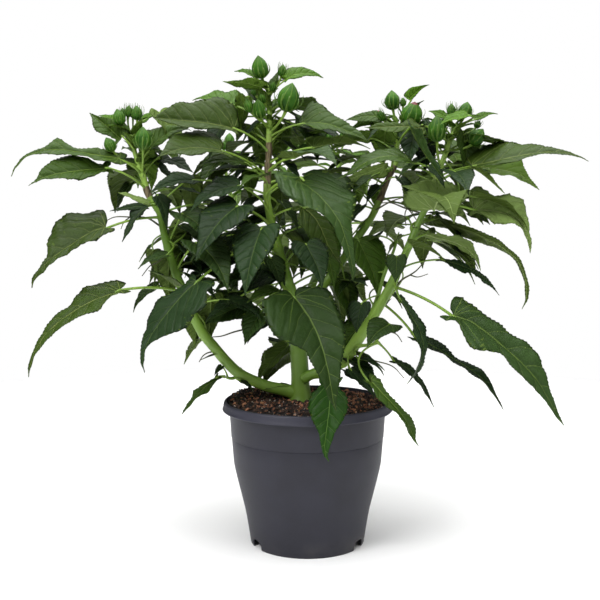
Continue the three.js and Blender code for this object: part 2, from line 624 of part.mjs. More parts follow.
// limbs: each is cut clear of the ones before it, and of the soil
const fattened = [];
Object.entries(limbs).forEach(([name, limb]) => {
  const path = stretch(limb.stem, limb.from, limb.to);
  let body = tube(path);
  if (limb.from === 0) body = body.trimByPlane([0, 0, 1], soilTop + gap);
  fattened.filter((other) => other.stem !== limb.stem).forEach((other) => {
    body = body.subtract(other.body);
  });
  body = largest(body);
  fattened.push({ stem: limb.stem, body: tube(path, gap) });
  placed.push(body);
  place(name, body, colors.limb, 0.6);
});

// every mass has its stem first, so that no leaf of another mass grows through it
const grown = Object.entries(masses).map(([name, mass]) => {
  const path = stretch(mass.stem, mass.from, mass.to);
  let stem = tube(path);
  fattened.filter((other) => other.stem !== mass.stem).forEach((other) => {
    stem = stem.subtract(other.body);
  });
  return { name, mass, path, stem: largest(stem) };
});

// a leaf or bud that would touch anything outside its own mass is skipped
grown.forEach(({ name, mass, path, stem }) => {
  const others = [...placed, ...grown.filter((other) => other.name !== name).map((other) => other.stem)];
  const rows = [...mass.leaves, ...(mass.more ? ruledLeaves(mass.more) : [])];
  const pieces = [...rows.map((row) => leaf(path, row)), ...mass.buds.map((row) => bud(path, row))];
  const free = pieces.filter((piece) => !others.some((other) => other.minGap(piece, margin * 2) < margin));
  const body = largest(Manifold.union([stem, ...free])).simplify(tidy);
  placed.push(body);
  place(name, body, colors.foliage, 0.7);
});

export default group;
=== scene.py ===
# hibiscus shrub in its nursery pot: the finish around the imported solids
import bpy
import bmesh
import math
import random
from mathutils import Vector, Matrix, noise


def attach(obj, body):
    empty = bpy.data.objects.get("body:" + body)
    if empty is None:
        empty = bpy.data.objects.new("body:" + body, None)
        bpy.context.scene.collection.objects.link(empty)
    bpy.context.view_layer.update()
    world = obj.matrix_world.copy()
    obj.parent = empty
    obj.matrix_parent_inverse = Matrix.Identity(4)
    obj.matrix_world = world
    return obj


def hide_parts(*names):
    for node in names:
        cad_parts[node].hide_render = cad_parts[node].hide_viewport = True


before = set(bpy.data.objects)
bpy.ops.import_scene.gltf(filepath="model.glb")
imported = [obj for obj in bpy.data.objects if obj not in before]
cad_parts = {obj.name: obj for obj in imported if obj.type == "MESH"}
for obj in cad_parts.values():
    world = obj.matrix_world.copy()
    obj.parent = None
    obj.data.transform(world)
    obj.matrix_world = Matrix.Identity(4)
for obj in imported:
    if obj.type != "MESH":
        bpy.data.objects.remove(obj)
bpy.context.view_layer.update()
mm = 0.001
print("frame loaded, nodes:", len(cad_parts))


def addObject(name, data):
    thing = bpy.data.objects.new(name, data)
    bpy.context.scene.collection.objects.link(thing)
    return thing


# camera, floor and light
studio = {
    "cameraAt": (-0.0092, -1.1387, 0.3977), "cameraDown": 0.085, "lens": 55.86,
    "floorColor": (0.92, 0.92, 0.92), "floorRadius": 1.35, "floorSides": 96,
    "skySeen": 1.0, "skyLight": 0.16,
    # name, place, what it points at, side lengths, watts
    "lights": [
        ("keySoftbox", (-1.5, -1.6, 1.9), (0, 0, 0.33), 1.2, 1.2, 44),
        ("topSoftbox", (0.0, -0.1, 2.4), (0, 0, 0), 3.0, 3.0, 120),
        ("fillSoftbox", (1.9, -1.2, 1.0), (0, 0, 0.3), 1.0, 1.6, 9),
    ],
}


def makeStudio():
    scene = bpy.context.scene
    cameraData = bpy.data.cameras.new("camera")
    cameraData.sensor_width = 36
    cameraData.lens = studio["lens"]
    cameraData.clip_end = 60
    camera = addObject("camera", cameraData)
    camera.location = studio["cameraAt"]
    camera.rotation_euler = (math.pi / 2 - studio["cameraDown"], 0, 0)
    scene.camera = camera
    for name, place, target, across, along, watts in studio["lights"]:
        lampData = bpy.data.lights.new(name, "AREA")
        lampData.shape = "RECTANGLE"
        lampData.size = across
        lampData.size_y = along
        lampData.energy = watts
        lamp = addObject(name, lampData)
        lamp.location = place
        lamp.rotation_euler = (Vector(target) - Vector(place)).to_track_quat("-Z", "Y").to_euler()
    world = bpy.data.worlds.new("studioSky")
    world.use_nodes = True
    nodes, links = world.node_tree.nodes, world.node_tree.links
    back = nodes["Background"]
    back.inputs["Color"].default_value = (1, 1, 1, 1)
    path = nodes.new("ShaderNodeLightPath")
    level = nodes.new("ShaderNodeMapRange")
    level.inputs["To Min"].default_value = studio["skyLight"]
    level.inputs["To Max"].default_value = studio["skySeen"]
    links.new(path.outputs["Is Camera Ray"], level.inputs["Value"])
    links.new(level.outputs["Result"], back.inputs["Strength"])
    scene.world = world
    scene.view_settings.view_transform = "Standard"
    turns = [2 * math.pi * i / studio["floorSides"] for i in range(studio["floorSides"])]
    reach = studio["floorRadius"]
    floorMesh = bpy.data.meshes.new("floor")
    edge = [(reach * math.cos(a), reach * math.sin(a), 0) for a in turns]
    floorMesh.from_pydata(edge, [], [tuple(range(len(edge)))])
    floor = addObject("floor", floorMesh)
    paint = bpy.data.materials.new("paleFloor")
    paint.use_nodes = True
    shader = paint.node_tree.nodes["Principled BSDF"]
    shader.inputs["Base Color"].default_value = (*studio["floorColor"], 1)
    shader.inputs["Roughness"].default_value = 0.9
    shader.inputs["Specular IOR Level"].default_value = 0.1
    floorMesh.materials.append(paint)


makeStudio()
print("studio ready")


# small helpers for node trees
def addNode(tree, kind, **settings):
    node = tree.nodes.new(kind)
    for key, value in settings.items():
        setattr(node, key, value)
    return node


def wire(tree, source, target):
    tree.links.new(source, target)


def put(tree, socket, value):
    if isinstance(value, bpy.types.NodeSocket):
        wire(tree, value, socket)
    else:
        socket.default_value = value


def calc(tree, operation, a, b=None, c=None, clamp=False):
    node = addNode(tree, "ShaderNodeMath", operation=operation, use_clamp=clamp)
    for index, value in enumerate([a, b, c]):
        if value is not None:
            put(tree, node.inputs[index], value)
    return node.outputs[0]


def times(tree, a, b):
    return calc(tree, "MULTIPLY", a, b)


def plus(tree, a, b):
    return calc(tree, "ADD", a, b)


def minus(tree, a, b):
    return calc(tree, "SUBTRACT", a, b)


def mixColors(tree, share, a, b, blend="MIX"):
    node = addNode(tree, "ShaderNodeMix", data_type="RGBA", blend_type=blend)
    put(tree, node.inputs[0], share)
    put(tree, node.inputs[6], a)
    put(tree, node.inputs[7], b)
    return node.outputs[2]


def remap(tree, value, low, high, toLow=0.0, toHigh=1.0):
    node = addNode(tree, "ShaderNodeMapRange", interpolation_type="SMOOTHSTEP")
    put(tree, node.inputs["Value"], value)
    for label, number in (("From Min", low), ("From Max", high), ("To Min", toLow), ("To Max", toHigh)):
        put(tree, node.inputs[label], number)
    return node.outputs["Result"]


def noiseAt(tree, place, scale, detail=3.0, rough=0.55, label="Fac"):
    node = addNode(tree, "ShaderNodeTexNoise")
    put(tree, node.inputs["Vector"], place)
    node.inputs["Scale"].default_value = scale
    node.inputs["Detail"].default_value = detail
    node.inputs["Roughness"].default_value = rough
    return node.outputs[label]


def objectPlace(tree):
    return addNode(tree, "ShaderNodeTexCoord").outputs["Object"]


def uvPlace(tree, name):
    return addNode(tree, "ShaderNodeUVMap", uv_map=name).outputs["UV"]


def attribute(tree, name):
    return addNode(tree, "ShaderNodeAttribute", attribute_name=name).outputs["Fac"]


def newGroup(name, inputs, outputs):
    group = bpy.data.node_groups.new(name, "ShaderNodeTree")
    for label, kind, value in inputs:
        socket = group.interface.new_socket(label, in_out="INPUT", socket_type=kind)
        if value is not None:
            socket.default_value = value
    for label, kind in outputs:
        group.interface.new_socket(label, in_out="OUTPUT", socket_type=kind)
    return group, addNode(group, "NodeGroupInput"), addNode(group, "NodeGroupOutput")


def useGroup(tree, group, **values):
    node = addNode(tree, "ShaderNodeGroup", node_tree=group)
    for label, value in values.items():
        put(tree, node.inputs[label], value)
    return node


def newMaterial(name, roughness, **sockets):
    material = bpy.data.materials.new(name)
    material.use_nodes = True
    shader = material.node_tree.nodes["Principled BSDF"]
    shader.inputs["Roughness"].default_value = roughness
    for label, value in sockets.items():
        shader.inputs[label.replace("_", " ")].default_value = value
    return material, material.node_tree, shader


def bump(tree, shader, height, distance, strength=1.0):
    node = addNode(tree, "ShaderNodeBump")
    node.inputs["Distance"].default_value = distance
    node.inputs["Strength"].default_value = strength
    put(tree, node.inputs["Height"], height)
    wire(tree, node.outputs["Normal"], shader.inputs["Normal"])


def fromScreen(red, green, blue):
    def linear(value):
        share = value / 255
        return share / 12.92 if share <= 0.04045 else ((share + 0.055) / 1.055) ** 2.4
    return (linear(red), linear(green), linear(blue), 1)


# shader groups that several finishes share
def makeGrainGroup():
    group, start, end = newGroup(
        "fineGrain",
        [("Scale", "NodeSocketFloat", 900.0), ("Stretch", "NodeSocketVector", (1, 1, 1))],
        [("Grain", "NodeSocketFloat"), ("Cloud", "NodeSocketFloat")],
    )
    place = addNode(group, "ShaderNodeVectorMath", operation="MULTIPLY")
    wire(group, objectPlace(group), place.inputs[0])
    wire(group, start.outputs["Stretch"], place.inputs[1])
    fine = addNode(group, "ShaderNodeTexNoise")
    fine.inputs["Detail"].default_value = 4.0
    wire(group, place.outputs[0], fine.inputs["Vector"])
    wire(group, start.outputs["Scale"], fine.inputs["Scale"])
    wire(group, fine.outputs["Fac"], end.inputs["Grain"])
    wire(group, noiseAt(group, place.outputs[0], 22, 4), end.inputs["Cloud"])
    return group


# veins of a leaf from its own map: across it and along it, in lengths of the blade
def makeVeinGroup():
    group, start, end = newGroup(
        "leafVeins",
        [("Spacing", "NodeSocketFloat", 0.158), ("Width", "NodeSocketFloat", 0.0075)],
        [("Vein", "NodeSocketFloat"), ("Net", "NodeSocketFloat"), ("Swell", "NodeSocketFloat")],
    )
    split = addNode(group, "ShaderNodeSeparateXYZ")
    place = uvPlace(group, "leafMap")
    wire(group, place, split.inputs[0])
    across = minus(group, split.outputs[0], 0.5)
    x = calc(group, "ABSOLUTE", across)
    square = times(group, x, x)
    straight = minus(group, times(group, split.outputs[1], 1.14), 0.12)
    # side veins wander a little, the midrib doesn't
    wander = times(group, minus(group, noiseAt(group, place, 5, 2), 0.5), 0.075)
    y = plus(group, straight, times(group, wander, remap(group, x, 0.0, 0.12)))
    width = start.outputs["Width"]
    # midrib, tapering to the tip
    ribWidth = times(group, minus(group, 1.25, y), times(group, width, 1.6))
    rib = remap(group, calc(group, "DIVIDE", x, ribWidth), 1.2, 0.45)
    # side veins leave the midrib by turns and arch to the tip
    sweep = minus(group, y, plus(group, times(group, x, 0.62), times(group, square, 1.5)))
    step = plus(group, calc(group, "DIVIDE", sweep, start.outputs["Spacing"]),
                times(group, calc(group, "GREATER_THAN", across, 0.0), 0.5))
    share = calc(group, "FRACT", plus(group, step, 8.0))
    near = times(group, calc(group, "MINIMUM", share, minus(group, 1.0, share)), start.outputs["Spacing"])
    sideWidth = times(group, width, minus(group, 0.85, times(group, x, 2.0)))
    side = remap(group, calc(group, "DIVIDE", near, calc(group, "MAXIMUM", sideWidth, 0.001)), 1.1, 0.3)
    side = times(group, side, remap(group, sweep, 0.03, 0.07))
    # lower veins fan out from the base and arch to the tip
    fan = None
    for slope, arch in ((0.98, 1.1), (0.28, 1.5), (-0.28, 0.9)):
        onLine = plus(group, times(group, x, slope), times(group, square, arch))
        off = calc(group, "ABSOLUTE", minus(group, y, onLine))
        off = times(group, off, 1 / math.sqrt(1 + slope * slope))
        line = times(group, remap(group, calc(group, "DIVIDE", off, width), 1.1, 0.3),
                    remap(group, x, 0.36, 0.1, 0.0, 0.9))
        fan = line if fan is None else calc(group, "MAXIMUM", fan, line)
    veins = calc(group, "MAXIMUM", rib, calc(group, "MAXIMUM", times(group, side, 0.8), fan))
    wire(group, veins, end.inputs["Vein"])
    cells = addNode(group, "ShaderNodeTexVoronoi", feature="DISTANCE_TO_EDGE")
    wire(group, place, cells.inputs["Vector"])
    cells.inputs["Scale"].default_value = 46
    net = remap(group, cells.outputs["Distance"], 0.0, 0.22)
    wire(group, net, end.inputs["Net"])
    swell = times(group, remap(group, near, 0.0, 0.045), remap(group, x, 0.0, 0.05))
    wire(group, swell, end.inputs["Swell"])
    return group


fineGrain = makeGrainGroup()
leafVeins = makeVeinGroup()

finishes = {}
# leaf finishes: blade, vein, roughness
leafTones = {
    "leafDeep": ((43, 64, 26), (96, 118, 52), 0.44),
    "leafDark": ((32, 51, 25), (80, 102, 48), 0.44),
    "leafMid": ((52, 76, 20), (110, 134, 56), 0.44),
    "leafOlive": ((51, 70, 19), (118, 130, 68), 0.46),
    "leafVivid": ((33, 66, 13), (96, 132, 58), 0.42),
    "leafFresh": ((68, 104, 17), (126, 154, 60), 0.42),
    "leafBack": ((74, 93, 37), (128, 148, 84), 0.6),
    "leafBackFresh": ((84, 112, 37), (144, 168, 86), 0.58),
    "leafPale": ((108, 130, 68), (156, 172, 112), 0.58),
}


def makeLeafFinish(name):
    *colors, roughness = leafTones[name]
    blade, vein = [fromScreen(*color) for color in colors]
    under = "Back" in name or name == "leafPale"
    material, tree, shader = newMaterial(name, roughness)
    shader.inputs["Specular IOR Level"].default_value = 0.1 if under else 0.14
    veins = useGroup(tree, leafVeins, Width=0.006 if under else 0.0046)
    cloud = noiseAt(tree, objectPlace(tree), 34, 3)
    pucker = noiseAt(tree, objectPlace(tree), 125, 2)
    shade = attribute(tree, "shade")
    darker = tuple(c * 0.56 for c in blade[:3]) + (1,)
    lighter = tuple(min(1, c * 1.42) for c in blade[:3]) + (1,)
    tone = calc(tree, "ADD", times(tree, cloud, 0.55), times(tree, shade, 0.55), clamp=True)
    color = mixColors(tree, tone, darker, lighter)
    # painted shade: the leaf is darkened in the sunken creases along its veins
    creaseShade = minus(tree, 1.0, veins.outputs["Swell"])
    color = mixColors(tree, times(tree, creaseShade, 0.1 if under else 0.3), color, darker)
    color = mixColors(tree, times(tree, veins.outputs["Net"], 0.06), color, darker)
    color = mixColors(tree, times(tree, veins.outputs["Vein"], 0.76 if under else 0.66), color, vein)
    wire(tree, color, shader.inputs["Base Color"])
    wire(tree, remap(tree, cloud, 0.3, 0.7, roughness - 0.07, roughness + 0.09), shader.inputs["Roughness"])
    raised = times(tree, veins.outputs["Vein"], 0.5 if under else -0.25)
    bulge = plus(tree, times(tree, veins.outputs["Net"], 0.1),
                 times(tree, veins.outputs["Swell"], -0.5 if under else 0.6))
    bulge = plus(tree, bulge, times(tree, pucker, 0.9))
    bump(tree, shader, plus(tree, raised, bulge), 0.0011, 0.9)
    return material


for name in leafTones:
    finishes[name] = makeLeafFinish(name)

stemTones = {
    # name: skin, lit skin, roughness
    "greenStem": ((90, 124, 36), (120, 154, 56), 0.46),
    "petioleGreen": ((104, 138, 42), (136, 168, 64), 0.45),
    "twigDark": ((58, 62, 30), (84, 84, 44), 0.6),
}


# green skin that turns to thin bark where the stem has aged
def makeStemFinish(name):
    *colors, roughness = stemTones[name]
    skin, lit = [fromScreen(*color) for color in colors]
    material, tree, shader = newMaterial(name, roughness)
    grain = useGroup(tree, fineGrain, Scale=420.0, Stretch=(1, 1, 0.16))
    color = mixColors(tree, remap(tree, grain.outputs["Cloud"], 0.32, 0.68), skin, lit)
    # painted light: where the stem's shade value rises above one half, the skin is lightened toward a bright
    # green, against the shade that falls there
    paintedLight = remap(tree, attribute(tree, "shade"), 0.5, 1.0, 0.0, 0.75)
    color = mixColors(tree, paintedLight, color, fromScreen(160, 196, 84))
    barkColor = mixColors(tree, remap(tree, grain.outputs["Grain"], 0.38, 0.62),
                          fromScreen(72, 64, 42), fromScreen(118, 104, 76))
    aged = attribute(tree, "bark")
    patch = plus(tree, aged, times(tree, minus(tree, grain.outputs["Cloud"], 0.5), 0.9))
    patch = times(tree, remap(tree, patch, 0.38, 0.62), remap(tree, aged, 0.02, 0.12))
    color = mixColors(tree, patch, color, barkColor)
    specks = addNode(tree, "ShaderNodeTexVoronoi", feature="F1")
    wire(tree, objectPlace(tree), specks.inputs["Vector"])
    specks.inputs["Scale"].default_value = 260
    dots = remap(tree, specks.outputs["Distance"], 0.16, 0.05)
    color = mixColors(tree, times(tree, dots, 0.22), color, fromScreen(150, 168, 112))
    wire(tree, color, shader.inputs["Base Color"])
    wire(tree, remap(tree, patch, 0, 1, roughness, 0.8), shader.inputs["Roughness"])
    height = plus(tree, times(tree, grain.outputs["Grain"], 0.8), times(tree, dots, 0.3))
    bump(tree, shader, height, 0.00045, 0.8)
    return material


for name in stemTones:
    finishes[name] = makeStemFinish(name)


# bud skin with pale ribs, from the bud's own map: round it and up it
def makeCalyxFinish():
    material, tree, shader = newMaterial("calyxGreen", 0.55)
    shader.inputs["Specular IOR Level"].default_value = 0.2
    split = addNode(tree, "ShaderNodeSeparateXYZ")
    wire(tree, uvPlace(tree, "budMap"), split.inputs[0])
    wave = calc(tree, "COSINE", times(tree, split.outputs[0], 20 * math.pi))
    rib = remap(tree, wave, 0.72, 0.98)
    cloud = noiseAt(tree, objectPlace(tree), 90, 3)
    color = mixColors(tree, remap(tree, cloud, 0.3, 0.7), fromScreen(36, 76, 13), fromScreen(58, 104, 22))
    tip = remap(tree, split.outputs[1], 0.55, 1.0, 0.0, 0.35)
    color = mixColors(tree, tip, color, fromScreen(66, 98, 22))
    color = mixColors(tree, times(tree, rib, 0.45), color, fromScreen(118, 148, 58))
    wire(tree, color, shader.inputs["Base Color"])
    bump(tree, shader, plus(tree, times(tree, rib, 0.7), times(tree, cloud, 0.4)), 0.0006)
    return material


finishes["calyxGreen"] = makeCalyxFinish()


def makeSpeckled(name, dark, light, roughness, scale, depth):
    material, tree, shader = newMaterial(name, roughness)
    grain = useGroup(tree, fineGrain, Scale=scale)
    share = plus(tree, times(tree, grain.outputs["Grain"], 0.6), times(tree, grain.outputs["Cloud"], 0.4))
    color = mixColors(tree, remap(tree, share, 0.36, 0.64), fromScreen(*dark), fromScreen(*light))
    wire(tree, color, shader.inputs["Base Color"])
    bump(tree, shader, grain.outputs["Grain"], depth)
    return material


speckled = {
    # name: dark, light, roughness, grain scale, relief in metres
    "bractGreen": ((64, 98, 26), (96, 128, 42), 0.5, 500.0, 0.0003),
    "petalRose": ((120, 30, 48), (160, 66, 84), 0.55, 300.0, 0.0002),
    "petalRed": ((78, 14, 20), (112, 30, 34), 0.5, 300.0, 0.0002),
    "peat": ((6, 4, 4), (28, 20, 17), 0.95, 420.0, 0.0018),
    "chipDark": ((22, 15, 12), (78, 55, 43), 0.85, 500.0, 0.0006),
    "chipBark": ((92, 56, 40), (180, 124, 92), 0.8, 420.0, 0.0006),
    "chipPale": ((160, 140, 124), (214, 200, 188), 0.8, 380.0, 0.0005),
}
for name, values in speckled.items():
    finishes[name] = makeSpeckled(name, *values)


# dark moulded plastic: fine matt texture, faint clouds, a little dust low down and painted light on the rim
# band
def makePotFinish():
    material, tree, shader = newMaterial("potPlastic", 0.5)
    shader.inputs["Specular IOR Level"].default_value = 0.3
    grain = useGroup(tree, fineGrain, Scale=1500.0)
    split = addNode(tree, "ShaderNodeSeparateXYZ")
    wire(tree, objectPlace(tree), split.inputs[0])
    color = mixColors(tree, remap(tree, grain.outputs["Cloud"], 0.25, 0.75),
                      fromScreen(36, 36, 44), fromScreen(42, 42, 52))
    color = mixColors(tree, times(tree, remap(tree, grain.outputs["Grain"], 0.5, 0.75), 0.35),
                      color, fromScreen(53, 53, 60))
    # painted light: everything above the foot of the rim band is lightened, standing for the light the band
    # catches
    litRimBand = times(tree, remap(tree, split.outputs[2], 0.1655, 0.1668), 0.55)
    color = mixColors(tree, litRimBand, color, fromScreen(60, 60, 72))
    low = remap(tree, split.outputs[2], 0.03, 0.0)
    dust = times(tree, low, remap(tree, grain.outputs["Cloud"], 0.4, 0.7))
    color = mixColors(tree, times(tree, dust, 0.35), color, fromScreen(80, 76, 72))
    scuffPlace = addNode(tree, "ShaderNodeVectorMath", operation="MULTIPLY")
    wire(tree, objectPlace(tree), scuffPlace.inputs[0])
    scuffPlace.inputs[1].default_value = (9, 9, 60)
    scuff = remap(tree, noiseAt(tree, scuffPlace.outputs[0], 9, 5, 0.7), 0.62, 0.78)
    color = mixColors(tree, times(tree, scuff, 0.22), color, fromScreen(72, 72, 79))
    wire(tree, color, shader.inputs["Base Color"])
    wire(tree, remap(tree, scuff, 0, 1, 0.5, 0.62), shader.inputs["Roughness"])
    bump(tree, shader, grain.outputs["Grain"], 0.00022, 0.7)
    return material


finishes["potPlastic"] = makePotFinish()
print("finishes ready:", len(finishes))


# growth of the shrub in millimetres: its solids' rule, and their measures but for a few corrected since
grow = {
    "petioleArch": 26, "pedicelArch": -40, "foldAngle": 16, "steps": 24, "splineSteps": 24,
    "petioleThin": 0.75, "petioleThick": 0.0066,
}

# stems: control points x, y, z and the radius there, from the soil to the tip
stems = {
    "center": [
        [-8, -6, 176.3, 10.9], [-10.7, -6, 237.2, 10.6], [-16.8, -4, 287.5, 8.3], [-25.1, -2, 325.4, 7],
        [-37.3, 1, 370.5, 5.6], [-48.7, 3, 419.2, 4.2], [-48.9, 4, 449.5, 3.9], [-47.1, 4, 476, 3.7],
        [-46.8, 4, 497.7, 3.6], [-45.6, 5, 528.9, 2.8], [-49.1, 5, 562.3, 1.9],
    ],
    "right": [
        [-4.9, -12.5, 205.4, 5.6], [4.8, -17, 211.1, 5.8], [24.8, -21, 217.9, 6.8], [45, -27, 232.8, 8.2],
        [62.7, -30, 259.9, 7.2], [79.3, -31, 285.3, 6.2], [97.5, -32, 317.8, 5.4], [109.8, -31, 343.9, 4.9],
        [123, -28, 373.6, 4.3], [133.1, -26, 397.3, 3.9], [143.2, -24, 419.9, 3.6], [155.2, -21, 453.1, 3.4],
        [164.8, -18, 479.3, 2.7], [176.6, -16, 512.4, 1.9],
    ],
    "middle": [
        [-16.6, -2, 260.1, 6], [-3, 6, 285.3, 6.2], [14.3, 10, 311, 6], [38, 17, 340.4, 5.5],
        [60.7, 25, 373.7, 4.9], [79.6, 30, 401, 4.2], [91.7, 35, 426, 3.9], [101.2, 38, 449.8, 3.5],
        [111.3, 40, 471.1, 3.4], [113.1, 41, 492.2, 2.9], [120.9, 42, 533.2, 1.9],
    ],
    "left": [
        [-12.9, -6, 186.2, 7.6], [-32.6, -8, 191, 7.1], [-54.6, -10, 197.5, 6.9], [-86.6, -15, 214.5, 6.6],
        [-114.9, -19, 246.9, 6.3], [-131.2, -21, 269.7, 6], [-149.7, -24, 312.4, 5.4],
        [-164.8, -24, 356.8, 4.9], [-172.2, -23, 385.4, 4.3], [-177.1, -21, 408, 4.1],
        [-189.7, -19, 427.1, 3.8], [-196.9, -17, 449.7, 3.5], [-206.6, -14, 478.4, 2.8],
        [-211.2, -13, 503.3, 1.9],
    ],
    "back-left": [
        [-15.3, -4, 264.1, 5.2], [-22.9, 18, 281.6, 5.6], [-48.1, 66, 312, 4.9], [-73.3, 104, 342.7, 4.2],
        [-91, 134, 387.8, 3.5], [-105.5, 150, 435.6, 2.9], [-115.3, 156, 483.7, 1.9],
    ],
    "back-right": [
        [-11.7, -4, 266.6, 5.2], [-4.2, 24, 288.6, 5.6], [11.7, 76, 325.7, 4.9], [28.5, 118, 363.7, 4.2],
        [37.6, 148, 412.3, 3.5], [43.6, 164, 454, 2.9], [42.4, 172, 493.1, 1.9],
    ],
    "low-right": [
        [53.3, -28, 243.9, 2.4], [61.1, -38, 248.9, 2.2], [71.6, -41, 250.5, 1.8], [85.9, -40, 254, 1.3],
    ],
    "right-side": [
        [74.6, -30, 279.2, 2.7], [78.9, -20, 291.5, 2.5], [85.8, -9, 306.3, 2.4], [93.5, -2, 331.5, 2.2],
        [105.4, 3, 360.7, 1.8], [112.1, 5, 383.9, 1.3],
    ],
    "low-front": [
        [23.5, -24, 216.5, 2.4], [22, -34, 220.6, 2.3], [15.7, -46, 222.5, 2], [8.4, -56, 221.7, 1.4],
    ],
    "low-left": [
        [-82.4, -14, 218.6, 2.2], [-86.3, -12, 208.4, 2.1], [-93.5, -13, 205.5, 1.8],
        [-101.8, -16, 208.5, 1.3],
    ],
    "low-back": [
        [-10.4, 0, 221.4, 2.4], [-10.4, 14, 223, 2.2], [-13, 28, 226, 1.8], [-16.9, 42, 230.4, 1.3],
    ],
}

